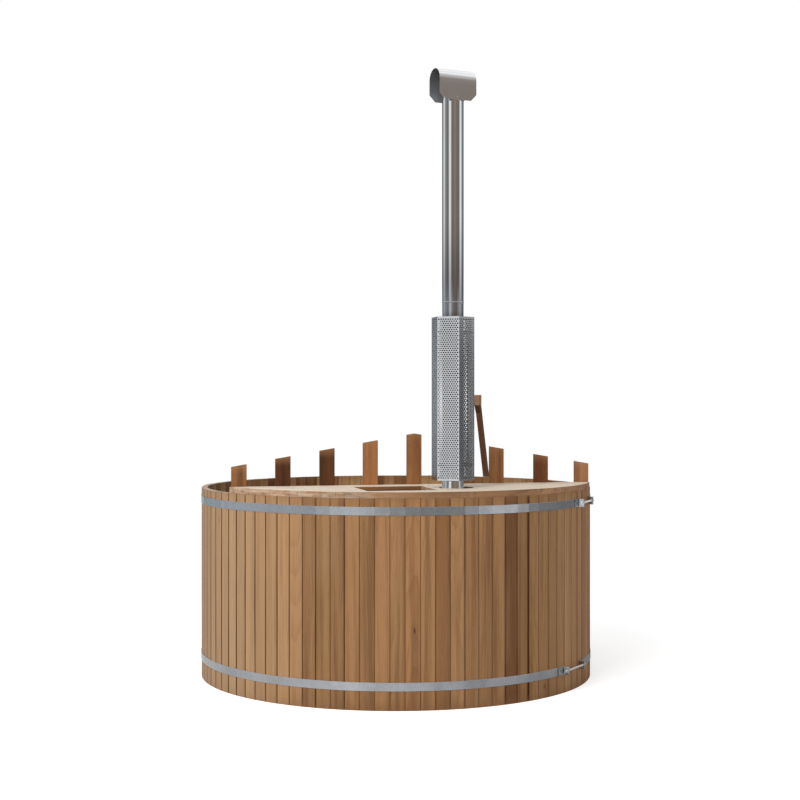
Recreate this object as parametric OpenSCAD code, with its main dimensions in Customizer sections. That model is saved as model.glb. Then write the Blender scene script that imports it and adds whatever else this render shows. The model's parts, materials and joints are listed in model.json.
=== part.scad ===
/* [Tub wall] */
// Outer diameter of the tub over the staves
tub_d = 2000; // [1900:10:2100]
// Height of the staves, from the ground to the rim
rim_z = 957; // [930:1:1000]
// Number of staves round the wall
stave_count = 91; // [80:1:100]
// Thickness of a stave
stave_t = 30; // [26:1:34]
// Width of the chamfer along the outer edges of a stave
stave_edge = 2; // [1:0.5:4]
// Depth of the groove that holds the floor
croze_depth = 8; // [5:1:12]

/* [Floor] */
// Height of the joists under the floor
joist_h = 45; // [40:1:50]
// Width of a joist
joist_w = 70; // [50:1:100]
// Distance from the middle joist to the outer ones
joist_pitch = 600; // [500:10:650]
// Thickness of the floor boards
floor_t = 28; // [22:1:32]
// Width of a floor board
floor_board_w = 140; // [110:1:180]

/* [Hoops and clamps] */
// Height of a hoop band
hoop_h = 39; // [30:1:45]
// Thickness of a hoop band
hoop_t = 2; // [1.5:0.5:3]
// Height of the lower edge of the bottom hoop
hoop_bottom_z = 89; // [85:1:105]
// Distance of the top hoop's lower edge under the rim
hoop_top_under = 77; // [75:1:107]
// Angle of the middle of the bottom clamp, from +X
clamp_bottom_angle = -45.2; // [-60:0.1:-35]
// Angle of the middle of the top clamp, from +X
clamp_top_angle = -35.5; // [-60:0.1:-30]
// Clear distance between the two lugs of a clamp
lug_gap = 170; // [120:1:180]
// Thickness of a lug
lug_t = 6; // [4:1:8]
// How far a lug stands out from the hoop
lug_proud = 27; // [24:1:32]
// Length of the foot plate behind each lug
lug_foot = 50; // [40:1:60]
// Thickness of the foot plate
lug_foot_t = 3; // [2:0.5:4]
// Diameter of the threaded rod
rod_d = 10; // [8:1:12]
// How far the rod reaches past each lug
rod_end = 24; // [20:1:30]
// Width of a nut across its corners
nut_d = 19; // [17:1:21]
// Height of a nut
nut_h = 8; // [6:1:10]

/* [Fence] */
// Distance of the fence face from the wall's inner face at the front
fence_in = 572; // [550:1:590]
// How far the middle of an outer slat stays inside the wall's inner face
slat_edge = 14; // [12:0.5:20]
// Width of a slat
slat_w = 73; // [60:1:80]
// Thickness of a slat
slat_t = 20; // [16:1:24]
// Height of the ridge of the slat tops over the rim
ridge_up = 279; // [223:1:343]
// Drop of the slat tops for each millimetre out from the middle
ridge_slope = 0.172; // [0.1:0.001:0.2]
// Side of the square rails that carry the slats
rail_w = 45; // [40:1:55]
// Height of the foot of the slats over the floor
slat_foot_gap = 25; // [15:1:40]
// Height of the lower rail over the floor
low_rail_up = 60; // [50:1:100]

/* [Cover] */
// Thickness of the cover boards
cover_t = 29; // [24:1:34]
// How far the cover's round edge stays inside the wall face
cover_inset = 2; // [1:1:5]
// Gap between the cover and the fence
cover_gap = 2; // [1:1:4]
// Distance of the hatch's left side from the middle
hatch_left = 340; // [335:1:350]
// Distance of the hatch's right side from the middle
hatch_right = 5; // [2:1:6]
// Distance of the hatch's front edge from the wall's inner face
hatch_in = 100; // [90:1:105]
// Length of the hatch, from front to back
hatch_l = 330; // [325:1:340]
// Number of boards that the hatch cuts
hatch_boards = 3; // [2:1:4]
// Gap between two cover boards
board_gap = 1; // [0.5:0.5:2]
// Depth of the battens under the cover
batten_h = 35; // [30:1:38]
// Width of a batten
batten_w = 42; // [36:1:44]
// Diameter of the chimney hole
chimney_hole_d = 164; // [150:1:168]
// Offset of the chimney hole to the right of the flue
chimney_hole_shift = 17; // [10:1:18]
// Distance of the outer battens from the middle
outer_batten_x = 640; // [600:10:680]

/* [Stove] */
// How far the stove reaches to the left of the middle
stove_left = 360; // [350:1:370]
// How far the stove reaches to the right of the middle
stove_right = 200; // [185:1:240]
// Distance of the stove's front from the wall's inner face
stove_in = 140; // [120:1:145]
// Length of the stove, from front to back
stove_l = 300; // [295:1:330]
// Wall thickness of the stove
stove_wall = 5; // [4:1:8]
// Gap between the stove's top plate and the cover battens
stove_top_gap = 17; // [15:1:20]
// Height of the feet under the stove
stove_foot_h = 30; // [20:1:50]
// Width of a stove foot
stove_foot_w = 50; // [40:1:70]
// Width of the fuel opening
fuel_w = 200; // [180:1:205]
// Length of the fuel opening
fuel_l = 200; // [180:1:205]
// How far the door laps over the fuel opening on each side
door_lap = 11; // [8:1:12]
// Thickness of the door plate
door_t = 6; // [4:1:8]
// Diameter of the hinge pin of the door
hinge_pin_d = 8; // [6:1:9]
// Diameter of the bar of the door handle
handle_d = 9; // [8:1:10]
// Height of the door handle over the door
handle_up = 22; // [18:1:26]
// Outer diameter of the air pipe
air_d = 62; // [56:1:64]
// Wall thickness of the air pipe
air_wall = 2; // [1.5:0.5:3]
// How far the air pipe stands over the stove's top plate
air_up = 26; // [22:1:30]
// Clear height under the lower end of the air pipe
air_foot_gap = 60; // [40:1:100]

/* [Flue] */
// Outer diameter of the flue pipe
flue_d = 102; // [96:1:110]
// Wall thickness of the flue pipe
flue_wall = 1.5; // [1:0.5:2]
// Distance of the flue from the tub's middle plane
flue_x = 110; // [108:1:114]
// Distance of the flue's axis from the wall's inner face
flue_in = 272; // [265:1:280]
// Widening of the socket at the foot of the flue, on the radius
socket_flare = 4; // [3:0.5:5]
// Height of the straight part of the foot socket over the rim
socket_up = 21; // [13:1:33]
// Height of the joint between the two pipes over the guard
joint_up = 73; // [60:1:105]
// Depth of the slip joint
slip_depth = 60; // [50:1:68]
// Height of the rolled bead at the joint
bead_h = 7; // [5:1:10]
// Length of the upper pipe over the joint
flue_upper_l = 984; // [900:1:1050]

/* [Heat guard] */
// Width of the guard across its corners
guard_d = 209; // [190:1:220]
// Thickness of the guard sheet
guard_t = 1.5; // [1:0.5:2]
// Height of the guard's lower edge over the rim
guard_up = 65; // [53:1:83]
// Length of the guard
guard_l = 771; // [740:1:774]
// Diameter of a hole in the guard
perf_d = 16; // [12:1:18]
// Pitch of the holes along a row
perf_pitch = 32; // [30:1:34]
// Plain margin at the upper and lower edge of the guard
perf_margin = 22; // [18:1:30]
// Height of the strap that holds the guard
strap_h = 20; // [16:1:24]
// Thickness of the strap
strap_t = 2.5; // [2:0.5:3]
// Distance of the straps from the ends of the guard
strap_in = 60; // [40:1:120]

/* [Cowl] */
// Length of the cowl tunnel
cowl_l = 196; // [180:1:220]
// Height of the cowl's top over the top of the flue
cowl_rise = 114; // [105:1:130]
// How far the cowl's legs reach down over the flue
cowl_lap = 35; // [30:1:45]
// Thickness of the cowl sheet
cowl_t = 1.2; // [1:0.1:2]
// Side of the cut corners of the legs
cowl_corner = 30; // [20:1:40]
// Turn of the cowl about the flue, from +X
cowl_turn = 12.5; // [-20:0.5:20]

/* [Bench] */
// Height of the top of the bench
bench_z = 428; // [380:1:480]
// Thickness of a bench board
bench_t = 28; // [22:1:32]
// Number of straight bench sections
bench_sections = 5; // [4:1:6]
// Number of boards in each section
bench_rows = 3; // [2:1:3]
// Width of a bench board
bench_board_w = 98; // [80:1:100]
// Gap between two bench boards
bench_gap = 8; // [5:1:9]
// Thickness of a bench leg
bench_leg_t = 28; // [22:1:34]

/* [Drain] */
// Angle of the drain, from +X
drain_angle = 125; // [115:1:135]
// Height of the drain over the floor
drain_up = 92; // [88:1:110]
// Outer diameter of the drain pipe
drain_d = 34; // [30:1:38]
// Bore of the drain
drain_bore_d = 24; // [20:1:26]
// Diameter of the drain's flanges
drain_flange_d = 58; // [52:1:62]
// Thickness of the drain's flanges
drain_flange_t = 6; // [4:1:8]
// Length of the valve body
valve_l = 56; // [50:1:70]
// Outer diameter of the hose tail
tail_d = 27; // [26:1:29]
// Length of the hose tail
tail_l = 36; // [30:1:50]
// Length of the valve lever from its stem
lever_l = 90; // [70:1:110]

/* [Entry steps] */
// Angle of the middle of the steps, from +X
steps_angle = 55.4; // [50:0.1:60]
// Lean of the steps from upright
steps_lean = 20; // [16:0.5:22]
// Distance between the middles of the two sides
steps_w = 348; // [328:2:408]
// Width of a side post
post_w = 28; // [26:1:34]
// Depth of a side post
post_d = 33; // [30:1:38]
// Height of the long post over the rim
post_up = 416; // [383:1:443]
// Number of treads
tread_count = 3; // [2:1:3]
// Height of one step
tread_rise = 240; // [220:1:250]
// Depth of a tread
tread_d = 130; // [100:1:160]
// Thickness of a tread
tread_t = 28; // [22:1:34]
// Height of the grip block
grip_h = 57; // [50:1:65]
// Depth of the grip block
grip_d = 44; // [43:1:52]
// Height of the toe under the grip block
grip_toe = 46; // [35:1:60]

/* [Hidden] */
$fn = 96;

// Clearances
joint_gap = 0.3;      // between two staves, and between curved faces that lie on each other
fit_gap = 0.5;        // between a board and the wall that it ends at
hole_gap = 0.2;       // on the radius of a screw's or rod's hole
run_gap = 0.1;        // on the radius of a turning pin
side_gap = 1;         // between moving neighbours, sideways

// Wall
tub_r = tub_d / 2;
stave_step = 360 / stave_count;
stave_half = stave_step / 2;
first_joint = 0.74 - 90;                     // angle of the joint nearest the front
stave_face = tub_r * cos(stave_half);        // distance of a stave's outer flat face
inner_r = tub_r - stave_t;                   // distance of a stave's inner flat face
group_count = 13;
floor_z = joist_h + floor_t;                 // top of the floor
floor_r = inner_r + croze_depth - fit_gap;
function stave_mid(k) = first_joint + (k + 0.5) * stave_step;
function wall_reach(x, r = inner_r - fit_gap) = sqrt(r * r - x * x);

// Hoops
hoop_top_z = rim_z - hoop_top_under;
hoop_r = tub_r + joint_gap;
hoop_out = hoop_r + hoop_t;
lug_angle = asin(lug_gap / 2 / hoop_r);
foot_half = (lug_foot + lug_t) / 2;
foot_angle = 2 * foot_half / hoop_out * 180 / PI;
rod_r = rod_d / 2;
rod_share = 0.55;                            // how far out along the lug the rod passes, as a share of it
rod_x = hoop_out + lug_proud * rod_share;    // distance of the rod from the tub axis

// Fence and cover
fence_y = inner_r - fence_in;                // distance of the fence face from the tub axis
// How far each slat stands from its even place along the row, as fitted
slat_shift = [3, -2, -3, -5, -2, 0, -12, 4, 3];
slat_count = len(slat_shift);
slat_pitch = 2 * (wall_reach(fence_y) - slat_edge) / (slat_count - 1);
ridge_z = rim_z + ridge_up;
low_rail_z = floor_z + low_rail_up;
rail_front = fence_y + rail_w;
cover_r = tub_r - cover_inset;
cover_z = rim_z + cover_t;
cover_near = fence_y + cover_gap;
batten_z = rim_z - batten_h;
batten_side = 2;              // between a batten and the side of the hatch
batten_hole_side = 4;         // between a batten and the chimney hole
hatch_x0 = -hatch_left;
hatch_x1 = -hatch_right;
hatch_far = inner_r - hatch_in;
hatch_near = hatch_far - hatch_l;
hatch_board_w = hatch_l / hatch_boards;
chimney_hole_x = flue_x + chimney_hole_shift;
batten_xs = [
    -outer_batten_x,
    hatch_x0 - batten_side - batten_w / 2,
    hatch_x1 + batten_side + batten_w / 2,
    chimney_hole_x + chimney_hole_d / 2 + batten_hole_side + batten_w / 2,
    outer_batten_x
];
board_edges = concat(
    [cover_near],
    [for (i = [0 : hatch_boards]) hatch_near + i * hatch_board_w],
    [cover_r]
);
cover_screw_r = 2.5;
screw_head_r = 5;
screw_head_h = 4;
screw_bite = 18;              // how far a screw reaches into its batten
screw_edge = 60;              // distance of a screw from the rear edge of a wide board
screw_l = cover_t + screw_bite;
function batten_reach(x) = wall_reach(abs(x) + batten_w / 2);
cover_screw_at = [
    for (x = batten_xs)
        for (i = [0 : len(board_edges) - 2])
            let (y = min(board_edges[i] + screw_edge, (board_edges[i] + board_edges[i + 1]) / 2))
                if (y + 2 * screw_head_r < batten_reach(x)) [x, -y]
];

// Stove
stove_x0 = -stove_left;
stove_x1 = stove_right;
stove_far = inner_r - stove_in;
stove_near = stove_far - stove_l;
stove_top = batten_z - stove_top_gap;
stove_z = floor_z + stove_foot_h;
stove_foot_in = 40;                          // distance of a foot from the stove's side
stove_foot_end = 10;                         // distance of a foot's end from the stove's front
fuel_in = 38;                                // distance of the fuel opening from the hatch's side
fuel_x0 = hatch_x0 + fuel_in;
fuel_y0 = -(hatch_near + hatch_far) / 2 - fuel_l / 2;
door_z = stove_top + side_gap / 2;
door_x0 = fuel_x0 - door_lap;
door_x1 = fuel_x0 + fuel_w + door_lap;
door_y0 = fuel_y0 - door_lap;
door_y1 = fuel_y0 + fuel_l + door_lap;
hinge_r = hinge_pin_d / 2;
hinge_round = 4;                             // metal round the hinge pin
hinge_out = hinge_r + hinge_round;
hinge_x = door_x0 - hinge_out - side_gap;
hinge_z = stove_top + hinge_out + side_gap;
knuckle_l = 24;
ear_l = 8;
knuckle_in = 45;                             // distance of a hinge from the door's end
knuckle_ys = [door_y0 + knuckle_in, door_y1 - knuckle_in];
handle_in = 26;                              // distance of the handle from the door's right side
handle_x = door_x1 - handle_in;
handle_half = 45;
air_side = 5;                                // distance of the air pipe from the hatch's right side
air_in = 25;                                 // distance of the air pipe from the hatch's rear edge
air_x = hatch_x1 - air_side - air_d / 2;
air_y = -(hatch_near + air_in + air_d / 2);
air_top = stove_top + air_up;
damper_down = 11;                            // depth of the damper under the air pipe's mouth
damper_z = air_top - damper_down;
damper_r = air_d / 2 - air_wall - side_gap;
damper_pin_r = 3;
damper_knob_l = 16;

// Flue
flue_r = flue_d / 2;
flue_y = flue_in - inner_r;
guard_z0 = rim_z + guard_up;
guard_z1 = guard_z0 + guard_l;
joint_z = guard_z1 + joint_up;
flue_top_z = joint_z + flue_upper_l;
socket_z = rim_z + socket_up;
socket_taper = 25;                           // height over which the socket narrows to the pipe
socket_r = flue_r + socket_flare;
spigot_r = socket_r - flue_wall - joint_gap;
spigot_up = 36;
flue_foot_z = stove_top + joint_gap;
slip_r = flue_r - flue_wall - joint_gap;
bead_r = flue_r + 2;

// Guard
guard_r = guard_d / 2;
guard_flat = guard_r * cos(30);
perf_row = perf_pitch * sin(60);
perf_rows = floor((guard_z1 - guard_z0 - 2 * perf_margin) / perf_row);
strap_zs = [guard_z0 + strap_in, guard_z1 - strap_in - strap_h];
strap_r = flue_r + joint_gap;
guard_screw_r = 2;
guard_screw_y = 8;           // sideways place of a screw on the strap's tab

// Cowl
cowl_top_z = flue_top_z + cowl_rise;
cowl_foot_z = flue_top_z - cowl_lap;
cowl_in = flue_r + fit_gap;
cowl_out = cowl_in + cowl_t;
cowl_spring_z = cowl_top_z - cowl_out;
rivet_r = 2.4;
rivet_z = (cowl_foot_z + flue_top_z) / 2;

// Bench
bench_under = bench_z - bench_t;
bench_a0 = 2;
bench_wall_gap = 12;                         // between the bench and the wall
bench_step = (180 - 2 * bench_a0) / bench_sections;
bench_out = (inner_r - bench_wall_gap) * cos(bench_step / 2);
bench_in = bench_out - bench_rows * bench_board_w - (bench_rows - 1) * bench_gap;

// Drain
drain_k = round((drain_angle - first_joint) / stave_step - 0.5);
drain_a = stave_mid(drain_k);
drain_z = floor_z + drain_up;
drain_r = drain_d / 2;
drain_bore_r = drain_bore_d / 2;
valve_r = drain_r + 6;
valve_x = stave_face + drain_flange_t + 10;  // inner end of the valve body
stem_x = valve_x + valve_l / 2;
stem_r = 6;
stem_top = drain_z + valve_r + 12;
lever_w = 16;
lever_t = 4;
pipe_end = valve_x + 14;                     // how far the pipe reaches into the valve

// Entry steps
post_top_z = rim_z + post_up;
post_half = steps_w / 2;
post_run = post_d / cos(steps_lean);         // depth of a post, measured level
post_x = wall_reach(post_half - post_w / 2, tub_r) + fit_gap;   // inner face at the rim
function post_face(z) = post_x + (rim_z - z) * tan(steps_lean);
grip_seat = 9;                               // how far the grip block laps over the post's inner face
grip_side = 2;                               // how much wider the grip block is than its post
grip_face = post_face(post_top_z) - grip_seat;   // inner face of the grip block
tread_inset = 4;                             // how far the treads sit back from the posts' inner faces
short_post_drop = 1;                         // how far the short post stops under the rim

// ---------------------------------------------------------------- tub wall

module stave(k) {
    outer = stave_face * tan(stave_half) - joint_gap / 2;
    inner = inner_r * tan(stave_half) - joint_gap / 2;
    rotate(stave_mid(k)) difference() {
        linear_extrude(rim_z) polygon([
            [inner_r, -inner], [stave_face - stave_edge, -outer],
            [stave_face, -outer + stave_edge], [stave_face, outer - stave_edge],
            [stave_face - stave_edge, outer], [inner_r, inner]
        ]);
        translate([inner_r - 1, -outer - 1, joist_h - joint_gap])
            cube([croze_depth + 1, 2 * outer + 2, floor_t + 2 * joint_gap]);
        if (k == drain_k)
            translate([inner_r - 1, 0, drain_z]) rotate([0, 90, 0])
                cylinder(r = drain_r + fit_gap, h = stave_t + 2);
    }
}

module stave_group(g) {
    color([0.62, 0.45, 0.32])
        for (k = [floor(g * stave_count / group_count) : floor((g + 1) * stave_count / group_count) - 1])
            stave(k);
}

// ---------------------------------------------------------------- floor

module floor_boards() {
    rows = ceil(2 * floor_r / floor_board_w);
    color([0.58, 0.42, 0.30])
        for (i = [0 : rows - 1])
            intersection() {
                translate([0, 0, joist_h]) cylinder(r = floor_r, h = floor_t);
                translate([-floor_r, (i - rows / 2) * floor_board_w, joist_h])
                    cube([2 * floor_r, floor_board_w - board_gap / 2, floor_t]);
            }
}

module floor_joists() {
    color([0.55, 0.40, 0.28])
        for (x = [-joist_pitch, 0, joist_pitch]) {
            half = wall_reach(abs(x) + joist_w / 2, inner_r - 12);
            translate([x - joist_w / 2, -half, 0]) cube([joist_w, 2 * half, joist_h]);
        }
}

// ---------------------------------------------------------------- hoops and clamps

module hoop(z, mid) {
    color([0.66, 0.69, 0.72])
        rotate(mid + lug_angle) rotate_extrude(angle = 360 - 2 * lug_angle)
            translate([hoop_r, z]) square([hoop_t, hoop_h]);
}

module clamp_lug(z, side) {
    near = hoop_out + joint_gap;             // the foot's inner face, flat, touches the hoop at its middle
    middle = lug_angle + foot_angle / 2;     // angle of the foot's middle
    tip = wall_reach(lug_gap / 2, near) + lug_proud;
    lug_out = lug_gap / 2 + lug_t;
    function foot_x(reach, y) = (reach - y * sin(middle)) / cos(middle);
    function foot_end(reach) =
        [reach * cos(middle) - foot_half * sin(middle), reach * sin(middle) + foot_half * cos(middle)];
    mirror([0, side < 0 ? 1 : 0, 0]) difference() {
        translate([0, 0, z]) linear_extrude(hoop_h) polygon([
            [foot_x(near, lug_gap / 2), lug_gap / 2], [tip, lug_gap / 2], [tip, lug_out],
            [foot_x(near + lug_foot_t, lug_out), lug_out], foot_end(near + lug_foot_t), foot_end(near)
        ]);
        translate([rod_x, 0, z + hoop_h / 2]) rotate([-90, 0, 0])
            cylinder(r = rod_r + hole_gap, h = lug_out + 1);
    }
}

module clamp_lugs(z, mid) {
    color([0.66, 0.69, 0.72]) rotate(mid) for (side = [-1, 1]) clamp_lug(z, side);
}

module clamp_rod(z, mid) {
    half = lug_gap / 2 + lug_t + rod_end;
    color([0.78, 0.79, 0.80]) rotate(mid)
        translate([rod_x, -half, z + hoop_h / 2]) rotate([-90, 0, 0]) cylinder(r = rod_r, h = 2 * half);
}

module clamp_nuts() {
    color([0.78, 0.79, 0.80])
        for (c = [[hoop_bottom_z, clamp_bottom_angle], [hoop_top_z, clamp_top_angle]])
            rotate(c[1]) for (side = [-1, 1])
                mirror([0, side < 0 ? 1 : 0, 0])
                    translate([rod_x, lug_gap / 2 + lug_t, c[0] + hoop_h / 2]) rotate([-90, 0, 0])
                        difference() {
                            cylinder(r = nut_d / 2, h = nut_h, $fn = 6);
                            translate([0, 0, -1]) cylinder(r = rod_r + run_gap, h = nut_h + 2);
                        }
}

// ---------------------------------------------------------------- fence

function slat_x(i) = (i - (slat_count - 1) / 2) * slat_pitch + slat_shift[i];
function slat_top(x) = ridge_z - ridge_slope * abs(x);

module fence_slat(i) {
    x0 = slat_x(i) - slat_w / 2;
    x1 = slat_x(i) + slat_w / 2;
    foot = floor_z + slat_foot_gap;
    peak = x0 < 0 && x1 > 0 ? [[0, ridge_z]] : [];
    color([0.60, 0.42, 0.26]) difference() {
        translate([0, -fence_y + slat_t, 0]) rotate([90, 0, 0]) linear_extrude(slat_t)
            polygon(concat([[x0, foot], [x1, foot], [x1, slat_top(x1)]], peak, [[x0, slat_top(x0)]]));
        // the outer slats are cut back below the rim, where the wall comes in
        if (max(abs(x0), abs(x1)) > wall_reach(fence_y) - slat_t)
            difference() {
                cylinder(r = tub_r + slat_w, h = rim_z + fit_gap);
                translate([0, 0, -1]) cylinder(r = inner_r - fit_gap, h = rim_z + 3);
            }
    }
}

module fence_rail(z) {
    half = wall_reach(rail_front);
    color([0.58, 0.42, 0.30]) translate([-half, -rail_front, z]) cube([2 * half, rail_w, rail_w]);
}

// ---------------------------------------------------------------- cover

module cover_screw_holes() {
    for (p = cover_screw_at) translate([p[0], p[1], 0]) {
        translate([0, 0, cover_z - screw_l]) cylinder(r = cover_screw_r + hole_gap, h = screw_l);
        translate([0, 0, cover_z - screw_head_h]) cylinder(r = screw_head_r + hole_gap, h = screw_head_h + 1);
    }
}

module cover_board(i) {
    y0 = board_edges[i + 1] - (i < len(board_edges) - 2 ? board_gap : -1);
    y1 = board_edges[i];
    difference() {
        intersection() {
            translate([0, 0, rim_z]) cylinder(r = cover_r, h = cover_t);
            translate([-cover_r, -y0, rim_z]) cube([2 * cover_r, y0 - y1, cover_t]);
        }
        translate([hatch_x0, -hatch_far, rim_z - 1])
            cube([hatch_x1 - hatch_x0, hatch_far - hatch_near, cover_t + 2]);
        translate([chimney_hole_x, flue_y, rim_z - 1]) cylinder(d = chimney_hole_d, h = cover_t + 2);
        cover_screw_holes();
    }
}

module cover_boards() {
    color([0.88, 0.78, 0.64]) for (i = [0 : len(board_edges) - 2]) cover_board(i);
}

module cover_battens() {
    color([0.60, 0.44, 0.30]) difference() {
        for (x = batten_xs)
            translate([x - batten_w / 2, -batten_reach(x), batten_z])
                cube([batten_w, batten_reach(x) - rail_front, batten_h]);
        cover_screw_holes();
    }
}

module cover_screws() {
    color([0.75, 0.76, 0.77])
        for (p = cover_screw_at) translate([p[0], p[1], 0]) {
            translate([0, 0, cover_z - screw_l + 1]) cylinder(r = cover_screw_r, h = screw_l - 1);
            translate([0, 0, cover_z - screw_head_h]) cylinder(r = screw_head_r, h = screw_head_h);
        }
}

// ---------------------------------------------------------------- bench

module bench_boards() {
    half = tan(bench_step / 2);
    color([0.62, 0.46, 0.33])
        for (s = [0 : bench_sections - 1])
            rotate(bench_a0 + (s + 0.5) * bench_step)
                for (r = [0 : bench_rows - 1]) {
                    x0 = bench_in + r * (bench_board_w + bench_gap);
                    x1 = x0 + bench_board_w;
                    translate([0, 0, bench_under]) linear_extrude(bench_t) polygon([
                        [x0, -x0 * half + side_gap], [x1, -x1 * half + side_gap],
                        [x1, x1 * half - side_gap], [x0, x0 * half - side_gap]
                    ]);
                }
}

module bench_legs() {
    color([0.58, 0.42, 0.30])
        for (s = [0 : bench_sections])
            rotate(bench_a0 + s * bench_step
                   + (s == 0 ? asin(bench_leg_t / 2 / bench_in) : 0)
                   - (s == bench_sections ? asin(bench_leg_t / 2 / bench_in) : 0))
                translate([bench_in / cos(bench_step / 2) + 10, -bench_leg_t / 2, floor_z])
                    cube([bench_out - bench_in - 20, bench_leg_t, bench_under - floor_z]);
}

// ---------------------------------------------------------------- stove

module stove_body() {
    w = stove_x1 - stove_x0;
    h = stove_top - stove_z;
    color([0.55, 0.57, 0.58]) difference() {
        union() {
            translate([stove_x0, -stove_far, stove_z]) cube([w, stove_l, h]);
            translate([flue_x, flue_y, stove_top - 1]) cylinder(r = spigot_r, h = spigot_up + 1);
            for (y = knuckle_ys) for (side = [-1, 1]) hinge_ear(y + side * (knuckle_l / 2 + side_gap + ear_l / 2));
        }
        translate([stove_x0 + stove_wall, -stove_far + stove_wall, stove_z + stove_wall])
            cube([w - 2 * stove_wall, stove_l - 2 * stove_wall, h - 2 * stove_wall]);
        translate([fuel_x0, fuel_y0, stove_top - stove_wall - 1]) cube([fuel_w, fuel_l, stove_wall + 2]);
        translate([air_x, air_y, stove_top - stove_wall - 1]) cylinder(d = air_d + 2 * joint_gap, h = stove_wall + 2);
        translate([flue_x, flue_y, stove_top - stove_wall - 1])
            cylinder(r = spigot_r - 3, h = stove_wall + spigot_up + 3);
        for (y = knuckle_ys) hinge_bore(y, hinge_r + joint_gap / 2);
    }
}

module hinge_ear(y) {
    translate([hinge_x, y + ear_l / 2, 0]) rotate([90, 0, 0]) linear_extrude(ear_l) {
        translate([0, hinge_z]) circle(r = hinge_out);
        translate([-hinge_out, stove_top - 1]) square([2 * hinge_out, hinge_z - stove_top + 1]);
    }
}

module hinge_bore(y, r) {
    half = knuckle_l / 2 + side_gap + ear_l + 1;
    translate([hinge_x, y + half, hinge_z]) rotate([90, 0, 0]) cylinder(r = r, h = 2 * half);
}

module stove_hinge_pins() {
    half = knuckle_l / 2 + side_gap + ear_l;
    color([0.35, 0.36, 0.37])
        for (y = knuckle_ys)
            translate([hinge_x, y + half, hinge_z]) rotate([90, 0, 0]) cylinder(r = hinge_r, h = 2 * half);
}

module stove_door() {
    post_r = handle_d / 2;
    color([0.30, 0.31, 0.32]) difference() {
        union() {
            translate([door_x0, door_y0, door_z]) cube([door_x1 - door_x0, door_y1 - door_y0, door_t]);
            for (y = knuckle_ys)
                translate([0, y + knuckle_l / 2, 0]) rotate([90, 0, 0]) linear_extrude(knuckle_l) {
                    translate([hinge_x, hinge_z]) circle(r = hinge_out);
                    translate([hinge_x, door_z + 2]) square([2 * hinge_out + side_gap + 8, hinge_z - door_z - 2]);
                }
            for (side = [-1, 1])
                translate([handle_x, (door_y0 + door_y1) / 2 + side * handle_half, door_z + door_t - 1])
                    cylinder(r = post_r, h = handle_up + 1);
            translate([handle_x, (door_y0 + door_y1) / 2 - handle_half - 12, door_z + door_t + handle_up])
                rotate([-90, 0, 0]) cylinder(r = post_r, h = 2 * handle_half + 24);
        }
        for (y = knuckle_ys) hinge_bore(y, hinge_r + run_gap);
    }
}

module stove_feet() {
    color([0.50, 0.52, 0.53])
        for (x = [stove_x0 + stove_foot_in, stove_x1 - stove_foot_in - stove_foot_w])
            translate([x, -stove_far + stove_foot_end, floor_z]) difference() {
                cube([stove_foot_w, stove_l - 2 * stove_foot_end, stove_foot_h]);
                translate([stove_wall, -1, stove_wall])
                    cube([stove_foot_w, stove_l, stove_foot_h - 2 * stove_wall]);
            }
}

module stove_air_pipe() {
    z0 = stove_z + stove_wall + air_foot_gap;
    color([0.55, 0.57, 0.58]) difference() {
        union() {
            translate([air_x, air_y, z0]) cylinder(d = air_d, h = air_top - z0);
            translate([air_x, air_y, stove_top]) cylinder(d = air_d + 10, h = 2.5);
        }
        translate([air_x, air_y, z0 - 1]) cylinder(r = air_d / 2 - air_wall, h = air_top - z0 + 2);
        translate([air_x, air_y - air_d, damper_z]) rotate([-90, 0, 0])
            cylinder(r = damper_pin_r + run_gap, h = 2 * air_d);
    }
}

module stove_damper() {
    reach = air_d / 2 + damper_knob_l;
    color([0.35, 0.36, 0.37]) translate([air_x, air_y, damper_z]) {
        translate([0, 0, -1]) cylinder(r = damper_r, h = 2);
        translate([0, -reach, 0]) rotate([-90, 0, 0]) cylinder(r = damper_pin_r, h = reach + air_d / 2 + 3);
        translate([-2.5, -reach - 4, -damper_pin_r]) cube([5, 5, 16]);
    }
}

// ---------------------------------------------------------------- flue

module flue_lower() {
    zs = socket_z + socket_taper;
    color([0.74, 0.75, 0.76]) translate([flue_x, flue_y, 0]) rotate_extrude() polygon([
        [socket_r - flue_wall, flue_foot_z], [socket_r, flue_foot_z],
        [socket_r, socket_z], [flue_r, zs],
        [flue_r, joint_z - bead_h], [bead_r, joint_z - bead_h + 2], [bead_r, joint_z - 2], [flue_r, joint_z],
        [flue_r - flue_wall, joint_z], [flue_r - flue_wall, zs], [socket_r - flue_wall, socket_z]
    ]);
}

module flue_upper() {
    foot = joint_z - slip_depth;
    seat = joint_z + joint_gap;
    color([0.78, 0.79, 0.80]) difference() {
        translate([flue_x, flue_y, 0]) rotate_extrude() polygon([
            [slip_r - flue_wall, foot], [slip_r, foot], [slip_r, seat], [flue_r, seat],
            [flue_r, flue_top_z], [flue_r - flue_wall, flue_top_z],
            [flue_r - flue_wall, seat + 3], [slip_r - flue_wall, seat + 3]
        ]);
        cowl_rivet_holes();
    }
}

module heat_guard() {
    color([0.62, 0.64, 0.66]) difference() {
        translate([flue_x, flue_y, guard_z0]) rotate(-90) linear_extrude(guard_z1 - guard_z0) difference() {
            circle(r = guard_r, $fn = 6);
            circle(r = guard_r - guard_t / cos(30), $fn = 6);
        }
        translate([flue_x, flue_y, guard_z0 + perf_margin]) for (side = [0 : 5]) rotate(side * 60)
            for (row = [0 : perf_rows])
                for (col = row % 2 == 0 ? [-1, 0, 1] : [-0.5, 0.5])
                    translate([guard_flat - 4, col * perf_pitch, row * perf_row])
                        rotate([0, 90, 0]) cylinder(d = perf_d, h = 8);
        guard_screw_holes();
    }
}

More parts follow.
